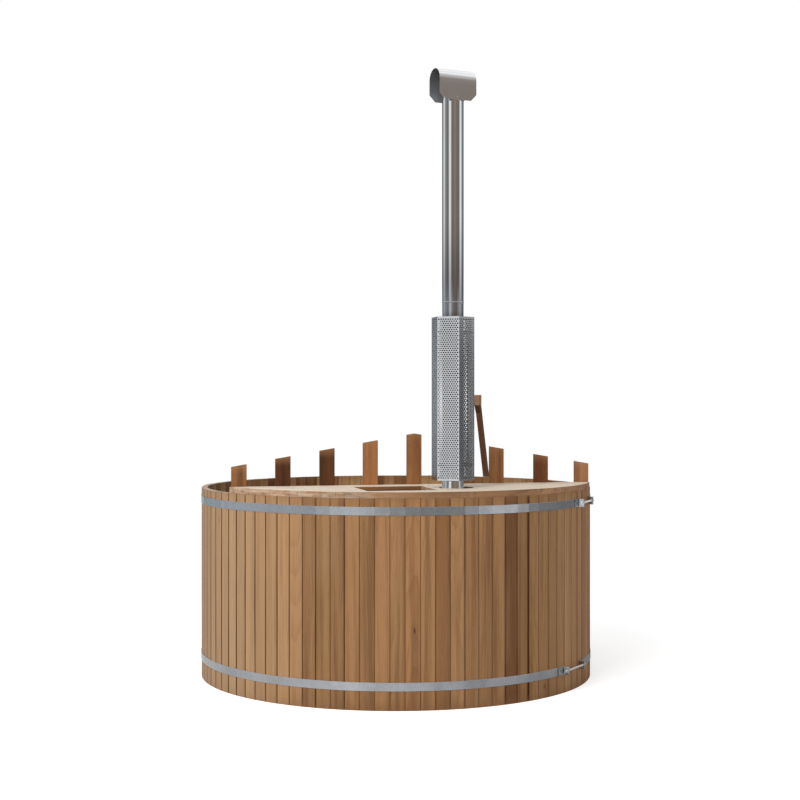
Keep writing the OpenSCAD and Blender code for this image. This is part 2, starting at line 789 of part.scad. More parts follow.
module guard_screw_holes() {
    guard_screw_place() translate([guard_flat - guard_t - 9, guard_screw_y, 0]) rotate([0, 90, 0])
        cylinder(r = guard_screw_r + hole_gap, h = guard_t + 12);
}

module guard_screw_place() {
    for (z = strap_zs) for (side = [0, 180])
        translate([flue_x, flue_y, z + strap_h / 2]) rotate(side) children();
}

module guard_straps() {
    tab = 14;
    color([0.45, 0.46, 0.47]) difference() {
        for (z = strap_zs) translate([flue_x, flue_y, z]) difference() {
            union() {
                cylinder(r = strap_r + strap_t, h = strap_h);
                for (side = [0, 180]) rotate(side) {
                    translate([strap_r, -strap_t / 2, 0])
                        cube([guard_flat - guard_t - strap_r, strap_t, strap_h]);
                    translate([guard_flat - guard_t - strap_t, -tab, 0]) cube([strap_t, 2 * tab, strap_h]);
                }
            }
            translate([0, 0, -1]) cylinder(r = strap_r, h = strap_h + 2);
        }
        guard_screw_holes();
    }
}

module guard_screws() {
    color([0.70, 0.71, 0.72]) guard_screw_place() translate([0, guard_screw_y, 0]) rotate([0, 90, 0]) {
        translate([0, 0, guard_flat - guard_t - 8]) cylinder(r = guard_screw_r, h = guard_t + 9);
        translate([0, 0, guard_flat + 0.05]) cylinder(r = 2 * guard_screw_r, h = 2);
    }
}

module cowl_rivet_holes() {
    translate([flue_x, flue_y, rivet_z]) rotate(cowl_turn) rotate([90, 0, 0])
        translate([0, 0, -2 * flue_r]) cylinder(r = rivet_r + hole_gap, h = 4 * flue_r);
}

module cowl() {
    drop = cowl_spring_z - cowl_foot_z;
    color([0.64, 0.63, 0.62]) difference() {
        translate([flue_x, flue_y, cowl_spring_z]) rotate(cowl_turn) difference() {
            translate([-cowl_l / 2, 0, 0]) rotate([90, 0, 90]) linear_extrude(cowl_l) difference() {
                union() {
                    circle(r = cowl_out);
                    translate([-cowl_out, -drop]) square([2 * cowl_out, drop]);
                }
                circle(r = cowl_in);
                translate([-cowl_in, -drop - 1]) square([2 * cowl_in, drop + 1]);
            }
            for (side = [-1, 1])
                translate([side * cowl_l / 2, 0, -drop]) rotate([0, 45, 0])
                    cube([cowl_corner * sqrt(2), 3 * cowl_out, cowl_corner * sqrt(2)], center = true);
        }
        cowl_rivet_holes();
    }
}

module cowl_rivets() {
    color([0.78, 0.79, 0.80]) translate([flue_x, flue_y, rivet_z]) rotate(cowl_turn)
        for (side = [0, 180]) rotate([90, 0, side]) {
            translate([0, 0, flue_r - flue_wall - 2]) cylinder(r = rivet_r, h = cowl_out - flue_r + flue_wall + 3);
            translate([0, 0, cowl_out + 0.05]) cylinder(r = 2 * rivet_r, h = 1.8);
        }
}

// ---------------------------------------------------------------- drain

module along_drain() {
    rotate(drain_a) translate([0, 0, drain_z]) rotate([0, 90, 0]) children();
}

module drain_pipe() {
    color([0.72, 0.60, 0.36]) along_drain() difference() {
        union() {
            translate([0, 0, inner_r - 22]) cylinder(r = drain_r, h = pipe_end - inner_r + 22);
            translate([0, 0, stave_face + fit_gap]) cylinder(d = drain_flange_d, h = drain_flange_t);
        }
        translate([0, 0, inner_r - 23]) cylinder(r = drain_bore_r, h = pipe_end - inner_r + 24);
    }
}

module drain_nut() {
    color([0.72, 0.60, 0.36]) along_drain() difference() {
        translate([0, 0, inner_r - fit_gap - drain_flange_t - 6]) union() {
            translate([0, 0, 6]) cylinder(d = drain_flange_d, h = drain_flange_t);
            cylinder(d = drain_flange_d - 8, h = 7, $fn = 6);
        }
        translate([0, 0, inner_r - 30]) cylinder(r = drain_r + run_gap, h = 32);
    }
}

module drain_valve_body() {
    color([0.76, 0.64, 0.38]) {
        along_drain() difference() {
            union() {
                translate([0, 0, valve_x]) cylinder(r = valve_r, h = valve_l);
                translate([0, 0, valve_x + valve_l - 1]) cylinder(d = tail_d, h = tail_l + 1);
            }
            translate([0, 0, valve_x - 1]) cylinder(r = drain_r + run_gap, h = pipe_end - valve_x + 1);
            translate([0, 0, valve_x]) cylinder(r = tail_d / 2 - 3, h = valve_l + tail_l + 1);
            // bore for the stem
            translate([-valve_r - 14, 0, stem_x]) rotate([0, 90, 0])
                cylinder(r = stem_r + run_gap, h = valve_r + 14 - drain_bore_r / 2);
        }
    }
}

module drain_valve_lever() {
    color([0.55, 0.10, 0.08]) rotate(drain_a) translate([stem_x, 0, 0]) {
        translate([0, 0, drain_z + drain_r - 4]) cylinder(r = stem_r, h = stem_top - drain_z - drain_r + 4);
        translate([0, 0, stem_top - lever_t]) {
            cylinder(r = lever_w / 2 + 2, h = lever_t);
            translate([-lever_w / 2, 0, 0]) cube([lever_w, lever_l, lever_t]);
        }
    }
}

// ---------------------------------------------------------------- entry steps

// Runs a shape drawn in the plane of the lean (level distance, height) out to a given width
module lean_extrude(width) {
    rotate([90, 0, 0]) linear_extrude(width, center = true) children();
}

module steps_place() {
    color([0.40, 0.26, 0.17]) rotate(steps_angle) children();
}

module side_post(top) {
    lean_extrude(post_w) polygon([
        [post_face(0), 0], [post_face(0) + post_run, 0],
        [post_face(top) + post_run, top], [post_face(top), top]
    ]);
}

module steps_long_post() {
    steps_place() translate([0, -post_half, 0]) side_post(post_top_z);
}

module steps_short_post() {
    steps_place() translate([0, post_half, 0]) side_post(rim_z - short_post_drop);
}

module steps_treads() {
    steps_place() for (i = [1 : tread_count])
        translate([post_face(i * tread_rise) + tread_inset, -post_half + post_w / 2, i * tread_rise - tread_t])
            cube([tread_d, steps_w - post_w, tread_t]);
}

module steps_grip() {
    toe_z = post_top_z - grip_toe;
    color([0.72, 0.54, 0.38]) rotate(steps_angle) translate([0, -post_half, 0]) lean_extrude(post_w + grip_side)
        polygon([
            [grip_face, post_top_z], [post_face(toe_z), toe_z], [post_face(post_top_z), post_top_z],
            [grip_face + grip_d, post_top_z], [grip_face + grip_d, post_top_z + grip_h],
            [grip_face, post_top_z + grip_h]
        ]);
}

// ---------------------------------------------------------------- assembly

stave_group(0);  // staves_01
stave_group(1);  // staves_02
stave_group(2);  // staves_03
stave_group(3);  // staves_04
stave_group(4);  // staves_05
stave_group(5);  // staves_06
stave_group(6);  // staves_07
stave_group(7);  // staves_08
stave_group(8);  // staves_09
stave_group(9);  // staves_10
stave_group(10);  // staves_11
stave_group(11);  // staves_12
stave_group(12);  // staves_13
floor_boards();
floor_joists();
hoop(hoop_bottom_z, clamp_bottom_angle);  // hoop_bottom
hoop(hoop_top_z, clamp_top_angle);  // hoop_top
clamp_lugs(hoop_bottom_z, clamp_bottom_angle);  // clamp_lugs_bottom
clamp_lugs(hoop_top_z, clamp_top_angle);  // clamp_lugs_top
clamp_rod(hoop_bottom_z, clamp_bottom_angle);  // clamp_rod_bottom
clamp_rod(hoop_top_z, clamp_top_angle);  // clamp_rod_top
clamp_nuts();
fence_slat(0);  // fence_slat_1
fence_slat(1);  // fence_slat_2
fence_slat(2);  // fence_slat_3
fence_slat(3);  // fence_slat_4
fence_slat(4);  // fence_slat_5
fence_slat(5);  // fence_slat_6
fence_slat(6);  // fence_slat_7
fence_slat(7);  // fence_slat_8
fence_slat(8);  // fence_slat_9
fence_rail(rim_z - rail_w);  // fence_rail_upper
fence_rail(low_rail_z);  // fence_rail_lower
cover_boards();
cover_battens();
cover_screws();
bench_boards();
bench_legs();
stove_body();
stove_feet();
stove_air_pipe();
stove_damper();
stove_door();
stove_hinge_pins();
flue_lower();
flue_upper();
heat_guard();
guard_straps();
guard_screws();
cowl();
cowl_rivets();
drain_pipe();
drain_nut();
drain_valve_body();
drain_valve_lever();
steps_long_post();
steps_short_post();
steps_treads();
steps_grip();
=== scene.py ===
"""Visual model of a wood-fired hot tub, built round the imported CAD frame.

The tub is a round wall of upright staves held by two screw-clamped hoops, with a slatted fence that
parts off an inside stove, a front cover with a hatch, a flue in a perforated heat guard, a cowl and
leaning entry steps. Lengths are metres, in the frame's own axes: +Z up, -Y to the front.
"""

from __future__ import annotations

import json
import logging
import math
import random
from collections.abc import Callable, Iterable, Sequence
from dataclasses import dataclass, field
from enum import Enum
from typing import Any

import bmesh
import bpy
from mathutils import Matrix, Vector


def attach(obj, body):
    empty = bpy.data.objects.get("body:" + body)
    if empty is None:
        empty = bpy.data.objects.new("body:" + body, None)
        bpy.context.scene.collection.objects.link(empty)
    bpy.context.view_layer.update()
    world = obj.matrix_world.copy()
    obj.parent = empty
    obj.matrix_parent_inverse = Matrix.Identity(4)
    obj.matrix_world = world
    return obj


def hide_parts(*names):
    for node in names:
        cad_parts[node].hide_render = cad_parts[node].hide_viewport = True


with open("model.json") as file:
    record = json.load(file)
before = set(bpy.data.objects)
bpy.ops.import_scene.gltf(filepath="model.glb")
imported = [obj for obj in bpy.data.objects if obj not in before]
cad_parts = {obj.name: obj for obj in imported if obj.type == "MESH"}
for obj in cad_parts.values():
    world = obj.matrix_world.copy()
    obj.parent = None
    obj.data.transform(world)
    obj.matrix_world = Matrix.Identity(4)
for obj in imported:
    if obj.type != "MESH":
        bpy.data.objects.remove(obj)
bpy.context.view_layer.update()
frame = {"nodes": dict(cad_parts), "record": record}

LOG = logging.getLogger("hot_tub")

Colour = tuple[float, float, float, float]
Triple = tuple[float, float, float]
Stop = tuple[float, ...]
Faces = list[tuple[int, ...]]
Socket = bpy.types.NodeSocket
Tree = bpy.types.NodeTree

MM = 0.001
WELD = 0.01 * MM
UP = Vector((0.0, 0.0, 1.0))
WHITE: Colour = (1.0, 1.0, 1.0, 1.0)

# The staves and the hoops that bend over their joints, in degrees from +X.
STAVE_COUNT = 91
STAVE_STEP = 360.0 / STAVE_COUNT
FIRST_JOINT = 0.74 - 90.0

# The upright axis of the flue's pipes, its guard and its cowl.
FLUE_X = 110 * MM
FLUE_Y = -698 * MM


def paint(red: int, green: int, blue: int) -> Colour:
    """Gives a display colour of 0 to 255 a channel as the linear colour that a shader takes."""

    def linear(value: int) -> float:
        """Undoes the display's curve for one channel."""
        share = value / 255
        return share / 12.92 if share <= 0.04045 else ((share + 0.055) / 1.055) ** 2.4

    return (linear(red), linear(green), linear(blue), 1.0)


def polar(radius: float, degrees: float, height: float = 0.0) -> Vector:
    """Gives the point at an angle from +X and a distance from the tub's axis."""
    turn = math.radians(degrees)
    return Vector((radius * math.cos(turn), radius * math.sin(turn), height))


def linked(name: str, data: Any) -> bpy.types.Object:
    """Makes an object of a mesh, a lamp or a camera and puts it in the scene."""
    made = bpy.data.objects.new(name, data)
    bpy.context.scene.collection.objects.link(made)
    return made


# ---------------------------------------------------------------- node graphs


class Tint(Enum):
    """What a mark multiplies the colour under it by."""

    WARM = (1.05, 0.88, 0.78, 1.0)
    COOL = (0.96, 1.04, 0.88, 1.0)
    KNOT = (0.45, 0.38, 0.34, 1.0)
    # Painted shade: darkens the inner faces of the staves.
    INNER_SHADE = (0.50, 0.38, 0.30, 1.0)
    # Darkens the lowest few centimetres.
    FOOT_DARK = (0.52, 0.46, 0.40, 1.0)
    # Darkens the flue from its guard upward.
    HEAT = (0.40, 0.40, 0.42, 1.0)
    # Painted shade: darkens the flue behind its guard.
    FLUE_BEHIND_GUARD_SHADE = (0.16, 0.16, 0.17, 1.0)
    SHADE = (0.72, 0.72, 0.72, 1.0)


class Graph:
    """Places and links nodes in one node tree."""

    def __init__(self, tree: Tree) -> None:
        """Takes over a tree and clears it.

        Args:
            tree: The node tree of a material, a world or a group.
        """
        self.tree = tree
        tree.nodes.clear()

    def add(self, kind: str, inputs: dict[Any, Any] | None = None, **settings: Any) -> bpy.types.Node:
        """Adds a node.

        Args:
            kind: The node's Blender type.
            inputs: Values or sockets by input name or number.
            settings: Properties of the node itself.

        Returns:
            The new node.
        """
        row, column = divmod(len(self.tree.nodes), 10)
        node = self.tree.nodes.new(kind)
        node.location = (220.0 * column, -320.0 * row)
        for name, value in settings.items():
            setattr(node, name, value)
        for name, value in (inputs or {}).items():
            self.feed(node.inputs[name], value)
        return node

    def feed(self, socket: Socket, value: Any) -> None:
        """Links a socket to the given one, or sets its plain value."""
        if isinstance(value, bpy.types.NodeSocket):
            self.tree.links.new(value, socket)
        else:
            socket.default_value = value

    def math(self, operation: str, *values: Any, clamp: bool = False) -> Socket:
        """Adds a Math node and gives its output."""
        node = self.add("ShaderNodeMath", dict(enumerate(values)), operation=operation, use_clamp=clamp)
        return node.outputs[0]

    def times(self, product: Any, *others: Any) -> Socket:
        """Multiplies two or more values."""
        for other in others:
            product = self.math("MULTIPLY", product, other)
        return product

    def scaled(self, vector: Socket, scale: Any) -> Socket:
        """Gives a vector multiplied by a scale for each axis."""
        return self.add("ShaderNodeVectorMath", {0: vector, 1: scale}, operation="MULTIPLY").outputs[0]

    def length(self, vector: Socket) -> Socket:
        """Gives a vector's length."""
        return self.add("ShaderNodeVectorMath", {0: vector}, operation="LENGTH").outputs["Value"]

    def even(self, value: Socket) -> Socket:
        """Gives a vector whose three parts are all the same value."""
        return self.add("ShaderNodeCombineXYZ", {0: value, 1: value, 2: value}).outputs[0]

    def split(self, vector: Socket) -> tuple[Socket, Socket, Socket]:
        """Gives the three parts of a vector."""
        node = self.add("ShaderNodeSeparateXYZ", {0: vector})
        return (node.outputs[0], node.outputs[1], node.outputs[2])

    def mix(self, factor: Any, one: Any, other: Any, blend: str = "MIX") -> Socket:
        """Adds a colour mix and gives its output."""
        node = self.add(
            "ShaderNodeMix", {0: factor}, data_type="RGBA", blend_type=blend, clamp_factor=True
        )
        self.feed(node.inputs[6], one)
        self.feed(node.inputs[7], other)
        return node.outputs[2]

    def product(self, colour: Any, other: Any) -> Socket:
        """Multiplies two colours."""
        return self.mix(1.0, colour, other, "MULTIPLY")

    def tinted(self, factor: Any, colour: Any, tint: Tint) -> Socket:
        """Tints a colour where the factor says."""
        return self.mix(factor, colour, self.product(colour, tint.value))

    def noise(self, vector: Socket, scale: float | Triple, detail: float = 3.0,
              rough: float = 0.55) -> Socket:
        """Adds a noise texture and gives its value, which lies round one half.

        Args:
            vector: The point that it is read at.
            scale: One scale, or one for each axis.
            detail: How many finer layers it has.
            rough: How strong those layers are.

        Returns:
            The noise's value.
        """
        if isinstance(scale, tuple):
            vector, scale = self.scaled(vector, scale), 1.0
        values = {"Vector": vector, "Scale": scale, "Detail": detail, "Roughness": rough}
        return self.add("ShaderNodeTexNoise", values).outputs[0]

    def remap(self, value: Any, low: float, high: float, to_low: float = 0.0,
              to_high: float = 1.0) -> Socket:
        """Maps a value's range onto another, clamped, with soft ends."""
        values = {"Value": value, "From Min": low, "From Max": high, "To Min": to_low, "To Max": to_high}
        return self.add("ShaderNodeMapRange", values, interpolation_type="SMOOTHSTEP").outputs[0]

    def ramp(self, factor: Socket, stops: Sequence[Stop]) -> Socket:
        """Adds a colour ramp and gives its colour.

        Args:
            factor: The value that picks the colour.
            stops: Places from 0 to 1, each with one grey level or with three channels.

        Returns:
            The ramp's colour socket.
        """
        node = self.add("ShaderNodeValToRGB", {0: factor})
        elements = node.color_ramp.elements
        while len(elements) < len(stops):
            elements.new(1.0)
        for element, (place, *channels) in zip(elements, stops):
            element.position = place
            element.color = (channels[0], channels[len(channels) // 2], channels[-1], 1.0)
        return node.outputs[0]

    def attribute(self, name: str, output: str = "Vector") -> Socket:
        """Reads a mesh attribute."""
        return self.add("ShaderNodeAttribute", attribute_name=name).outputs[output]

    def point(self) -> Socket:
        """Gives the point of the surface in the frame's own axes."""
        return self.add("ShaderNodeTexCoord").outputs["Object"]

    def group(self, tree: Tree, inputs: dict[str, Any]) -> bpy.types.Node:
        """Places a node group with its values."""
        node = self.add("ShaderNodeGroup", node_tree=tree)
        for name, value in inputs.items():
            self.feed(node.inputs[name], value)
        return node

    def skin(self, inputs: dict[str, Any], height: Socket, relief: float, depth: float) -> None:
        """Adds a material's Principled shader, its bump and its output.

        Args:
            inputs: The shader's values by name.
            height: What the bump reads.
            relief: The bump's strength.
            depth: The bump's depth in metres.
        """
        bump = self.add("ShaderNodeBump", {"Strength": relief, "Distance": depth, "Height": height})
        shader = self.add("ShaderNodeBsdfPrincipled", {**inputs, "Normal": bump.outputs[0]})
        self.add("ShaderNodeOutputMaterial", {"Surface": shader.outputs[0]})


def blank_material(name: str) -> tuple[bpy.types.Material, Graph]:
    """Makes a material with an empty graph."""
    made = bpy.data.materials.new(name)
    made.use_nodes = True
    return made, Graph(made.node_tree)


class SocketKind(Enum):
    """The kinds of group socket that the shared effects use."""

    VALUE = "NodeSocketFloat"
    COLOUR = "NodeSocketColor"
    VECTOR = "NodeSocketVector"


class Effect:
    """A shader node group with named inputs and outputs, which several finishes share."""

    def __init__(self, name: str, takes: dict[SocketKind, str], gives: dict[SocketKind, str]) -> None:
        """Makes the empty group.

        Args:
            name: The group's name.
            takes: The names of the input sockets of each kind, with commas between them.
            gives: The names of the output sockets, likewise.
        """
        self.tree = bpy.data.node_groups.new(name, "ShaderNodeTree")
        for direction, sockets in (("INPUT", takes), ("OUTPUT", gives)):
            for kind, labels in sockets.items():
                for label in labels.split(", "):
                    self.tree.interface.new_socket(name=label, in_out=direction, socket_type=kind.value)
        self.graph = Graph(self.tree)
        self.entry = self.graph.add("NodeGroupInput")
        self.exit = self.graph.add("NodeGroupOutput")

    def __getitem__(self, name: str) -> Socket:
        """Gives the socket of a named input, inside the group."""
        return self.entry.outputs[name]

    def give(self, **values: Socket) -> Tree:
        """Feeds the outputs and gives the finished group."""
        for name, value in values.items():
            self.graph.feed(self.exit.inputs[name], value)
        return self.tree


class Effects:
    """The shared node groups, each built once."""

    def __init__(self) -> None:
        """Builds the groups."""
        self.figure = self.build_figure()
        self.board = self.build_board()
        self.weather_and_sheen = self.build_weather_and_sheen()
        self.sheet = self.build_sheet()
        self.dust = self.build_dust_and_light()

    @staticmethod
    def build_figure() -> Tree:
        """Builds the wood figure: growth rings round a far pith, broad streaks, fine fibres and rare knots.

        Returns:
            A group that takes a point in the board's own frame and gives colour, roughness and height.
        """
        effect = Effect(
            "wood_figure",
            {SocketKind.VECTOR: "Grain", SocketKind.COLOUR: "Early, Late, Deep",
             SocketKind.VALUE: "Ring Pitch, Rings, Streaks, Fibre, Knots"},
            {SocketKind.COLOUR: "Color", SocketKind.VALUE: "Roughness, Height"},
        )
        graph, grain, deep = effect.graph, effect["Grain"], effect["Deep"]
        wander = graph.noise(grain, (2.2, 2.2, 0.55), 2.0)
        waver = graph.noise(grain, (24.0, 24.0, 1.6))
        from_pith = graph.length(graph.scaled(grain, (1.0, 1.0, 0.025)))
        bent = graph.math("MULTIPLY_ADD", wander, 0.09, from_pith)
        bent = graph.math("MULTIPLY_ADD", waver, 0.008, bent)
        year = graph.math("FRACT", graph.math("DIVIDE", bent, effect["Ring Pitch"]))
        late = graph.times(graph.math("POWER", year, 2.6), graph.remap(year, 1.0, 0.93))
        rings = graph.times(late, effect["Rings"])
        broad = graph.noise(grain, (26.0, 26.0, 0.8), 5.0, 0.6)
        streak = graph.times(graph.remap(broad, 0.42, 0.72), effect["Streaks"])
        pale = graph.times(graph.remap(broad, 0.44, 0.26), effect["Streaks"], 0.55)
        fine = graph.noise(grain, (620.0, 620.0, 11.0), 3.0, 0.65)
        thread = graph.times(graph.remap(fine, 0.48, 0.72), effect["Fibre"])
        body = graph.mix(rings, effect["Early"], effect["Late"])
        body = graph.mix(streak, body, deep)
        body = graph.mix(pale, body, effect["Early"])
        body = graph.mix(thread, body, deep)
        stretched = graph.scaled(grain, (9.0, 9.0, 3.4))
        cells = graph.add("ShaderNodeTexVoronoi", {"Vector": stretched, "Scale": 1.0})
        chance = graph.split(cells.outputs["Color"])[0]
        rare = graph.times(graph.remap(chance, 0.74, 0.80), effect["Knots"])
        near = graph.math("MULTIPLY_ADD", waver, 0.03, cells.outputs["Distance"])
        knot = graph.times(graph.remap(near, 0.085, 0.04), rare)
        halo = graph.times(graph.remap(near, 0.22, 0.05), rare, 0.4)
        body = graph.mix(halo, body, effect["Late"])
        body = graph.mix(knot, body, graph.product(deep, Tint.KNOT.value))
        rough = graph.math("MULTIPLY_ADD", rings, -0.12, graph.remap(fine, 0.3, 0.7, 0.5, 0.72))
        height = graph.math("MULTIPLY_ADD", late, 0.5, graph.times(fine, -0.8))
        return effect.give(Color=body, Roughness=rough, Height=height)

    @staticmethod
    def build_board() -> Tree:
        """Builds a board's own marks: tone, stained joints with some painted groove shade, painted shade on
        the inner face, moist tips with painted shade and end grain.

        Returns:
            A group that takes a colour and the board's attributes and gives a colour and the joints' mask.
        """
        effect = Effect(
            "board_marks",
            {SocketKind.COLOUR: "Color, Joint Color, End Color", SocketKind.VECTOR: "Grain, Place, Tone",
             SocketKind.VALUE: "End, Spread, Joint, Wet"},
            {SocketKind.COLOUR: "Color", SocketKind.VALUE: "Edge"},
        )
        graph, grain = effect.graph, effect["Grain"]
        across, through, along = graph.split(effect["Place"])
        lightness, redness, stained = graph.split(effect["Tone"])
        stops = graph.times(lightness, effect["Spread"])
        gains = {i: graph.math("POWER", base, stops) for i, base in enumerate((2.0, 2.3, 2.75))}
        toned = graph.product(effect["Color"], graph.add("ShaderNodeCombineXYZ", gains).outputs[0])
        toned = graph.tinted(graph.times(graph.remap(redness, 0.0, 1.0), 0.55), toned, Tint.WARM)
        toned = graph.tinted(graph.times(graph.remap(redness, 0.0, -1.0), 0.45), toned, Tint.COOL)
        strength = graph.math("ABSOLUTE", stained)
        uneven = graph.noise(grain, (8.0, 8.0, 5.0), 4.0, 0.6)
        reach = graph.math("MULTIPLY_ADD", uneven, 0.06, graph.math("ABSOLUTE", across))
        lean = graph.math("MULTIPLY_ADD", strength, 0.7, 0.3)
        seam = graph.times(graph.remap(reach, 0.92, 1.0), lean, effect["Joint"])
        toned = graph.mix(seam, toned, effect["Joint Color"])
        # A dark edge along one side of a joint: partly a soaked stain, partly painted shade in the groove.
        ragged = graph.noise(grain, (60.0, 60.0, 2.2), 5.0, 0.6)
        one_side = graph.times(across, graph.math("SIGN", stained))
        soaked_and_groove_shade = graph.remap(graph.math("MULTIPLY_ADD", ragged, 0.4, one_side), 0.90, 1.16)
        soaked_and_groove_shade = graph.times(soaked_and_groove_shade, graph.math("POWER", strength, 2.0), effect["Joint"])
        toned = graph.mix(soaked_and_groove_shade, toned, effect["Joint Color"])
        inner_face = graph.remap(through, -0.6, -0.95)
        # Painted shade inside the tub: inner faces darken, more on redder staves.
        wet = graph.times(inner_face, effect["Wet"], graph.remap(redness, -0.05, 0.5, 0.04, 1.0))
        toned = graph.tinted(wet, toned, Tint.INNER_SHADE)
        # Tips turn towards the end colour: partly moist ends, partly painted shade under the cover's edge.
        tip = graph.math("MULTIPLY_ADD", uneven, 0.12, graph.math("ABSOLUTE", along))
        toned = graph.mix(graph.times(graph.remap(tip, 0.96, 1.07), 0.45), toned, effect["End Color"])
        pores = graph.remap(graph.noise(grain, (48.0, 90.0, 48.0), 4.0, 0.65), 0.38, 0.62, 0.55, 1.4)
        cut = graph.product(effect["End Color"], graph.even(pores))
        toned = graph.mix(graph.times(effect["End"], 0.8), toned, cut)
        return effect.give(Color=toned, Edge=graph.math("MAXIMUM", seam, soaked_and_groove_shade))

    @staticmethod
    def build_weather_and_sheen() -> Tree:
        """Builds outdoor marks: darkening in the lowest few centimetres, a greyed bloom, and painted sheen
        in the bloom's colour on the sunny side.

        Returns:
            A group that takes a colour and a point and gives a colour.
        """
        effect = Effect(
            "outdoor_marks_and_side_sheen",
            {SocketKind.COLOUR: "Color, Bloom Color", SocketKind.VECTOR: "Point",
             SocketKind.VALUE: "Splash, Bloom, Bleach"},
            {SocketKind.COLOUR: "Color"},
        )
        graph, point = effect.graph, effect["Point"]
        side, _, height = graph.split(point)
        ragged = graph.noise(point, (14.0, 14.0, 5.0), 5.0, 0.62)
        # Darker in the lowest few centimetres, with a ragged top edge.
        low = graph.remap(graph.math("MULTIPLY_ADD", ragged, -0.16, height), 0.03, -0.05)
        darker_foot = graph.tinted(graph.times(low, effect["Splash"]), effect["Color"], Tint.FOOT_DARK)
        cloud = graph.remap(graph.noise(point, (1.9, 1.9, 1.1), 4.0, 0.6), 0.42, 0.68)
        runs = graph.remap(graph.noise(point, (36.0, 36.0, 0.9), 4.0, 0.6), 0.40, 0.66)
        bloom = graph.times(cloud, runs, effect["Bloom"])
        # Painted sheen: the left side, which the light falls on, turns pale in the bloom's colour, except on
        # dark joint edges.
        painted_sheen_side = graph.times(graph.remap(side, -0.50, -0.98), effect["Bleach"])
        bloom_and_sheen = graph.mix(graph.math("MAXIMUM", bloom, painted_sheen_side), darker_foot, effect["Bloom Color"])
        return effect.give(Color=bloom_and_sheen)

    @staticmethod
    def build_sheet() -> Tree:
        """Builds a metal surface: zinc spangle, drawn lines, smudges, small pits, stretches of painted
        reflection, the flue darkened from its guard upward and painted shade on the flue behind the guard.

        Returns:
            A group that takes a colour and a point and gives colour, roughness and height.
        """
        effect = Effect(
            "metal_surface",
            {SocketKind.COLOUR: "Color, Stain", SocketKind.VECTOR: "Point, Drawn",
             SocketKind.VALUE: "Spangle, Smudge, Patches, Heat, Low Roughness, High Roughness"},
            {SocketKind.COLOUR: "Color", SocketKind.VALUE: "Roughness, Height"},
        )
        graph, point, heat = effect.graph, effect["Point"], effect["Heat"]
        cells = graph.add("ShaderNodeTexVoronoi", {"Vector": point, "Scale": 95.0}, feature="F1")
        flake = graph.math("SUBTRACT", graph.split(cells.outputs["Color"])[0], 0.5)
        flake = graph.times(flake, effect["Spangle"])
        lines = graph.noise(graph.scaled(point, effect["Drawn"]), 1.0, 3.0, 0.7)
        cloud = graph.noise(point, (7.0, 7.0, 4.0), 5.0, 0.6)
        smear = graph.times(graph.remap(cloud, 0.44, 0.68), effect["Smudge"], 0.5)
        pits = graph.times(graph.remap(graph.noise(point, 240.0), 0.60, 0.72), effect["Smudge"])
        gain = graph.math("ADD", graph.math("MULTIPLY_ADD", lines, 0.12, 0.94), flake)
        # Painted reflection: broad stretches of the metal turn lighter and darker.
        painted_reflection_stretch = graph.remap(graph.noise(point, (2.6, 2.6, 0.4), 1.0), 0.44, 0.56, -1.0, 1.0)
        gain = graph.math("MULTIPLY_ADD", painted_reflection_stretch, effect["Patches"], gain)
        body = graph.product(effect["Color"], graph.even(gain))
        body = graph.mix(smear, body, effect["Stain"])
        body = graph.mix(pits, body, effect["Stain"])
        up = graph.split(point)[2]
        # The flue darkens from the guard's foot up to about 1.9 m and fades out by about 2.3 m.
        darker_above_guard = graph.math("MULTIPLY_ADD", cloud, 0.2, up)
        darker_above_guard = graph.times(graph.remap(darker_above_guard, 2.42, 2.02), graph.remap(up, 1.02, 1.2), heat)
        body = graph.tinted(darker_above_guard, body, Tint.HEAT)
        # Painted shade: the flue behind the guard is made near black, so the guard's holes look dark.
        painted_guard_shade = graph.times(graph.remap(up, 1.83, 1.77), graph.remap(up, 1.02, 1.06), heat)
        body = graph.tinted(painted_guard_shade, body, Tint.FLUE_BEHIND_GUARD_SHADE)
        blend = graph.math("ADD", graph.times(lines, 0.55), smear, clamp=True)
        spread = graph.math("SUBTRACT", effect["High Roughness"], effect["Low Roughness"])
        rough = graph.math("MULTIPLY_ADD", spread, blend, effect["Low Roughness"])
        height = graph.math("SUBTRACT", graph.times(lines, 0.6), pits)
        return effect.give(Color=body, Roughness=rough, Height=height)

    @staticmethod
    def build_dust_and_light() -> Tree:
        """Builds the pale dust on faces that look up, partly painted top light, and its streaks on upright
        faces of the lit side, partly painted light.

        Returns:
            A group that takes a colour and a point and gives a colour and the mask of the dust and its
            painted light.
        """
        effect = Effect(
            "dust_and_painted_light",
            {SocketKind.COLOUR: "Color, Dust Color", SocketKind.VECTOR: "Point",
             SocketKind.VALUE: "Amount, Patchy, Creep"},
            {SocketKind.COLOUR: "Color", SocketKind.VALUE: "Mask"},
        )
        graph, point = effect.graph, effect["Point"]
        side, _, up = graph.split(graph.add("ShaderNodeNewGeometry").outputs["Normal"])
        patchy = graph.remap(graph.noise(point, (11.0, 11.0, 11.0), 5.0, 0.65), 0.32, 0.7)
        bare = graph.times(graph.math("SUBTRACT", 1.0, patchy), effect["Patchy"])
        # Partly painted light: faces that look up turn pale, as lit tops do.
        pale_tops = graph.times(graph.remap(up, 0.35, 1.0), effect["Amount"], graph.math("SUBTRACT", 1.0, bare))
        streaks = graph.remap(graph.noise(point, (9.0, 9.0, 90.0), 4.0, 0.55), 0.30, 0.70)
        upright = graph.math("SUBTRACT", 1.0, graph.math("ABSOLUTE", up))
        # Partly painted light: the streaks show only on faces that look towards the lit left side.
        streaks = graph.times(streaks, upright, graph.remap(side, -0.05, -0.62), effect["Creep"])
        mask = graph.math("ADD", pale_tops, streaks, clamp=True)
        return effect.give(Color=graph.mix(mask, effect["Color"], effect["Dust Color"]), Mask=mask)


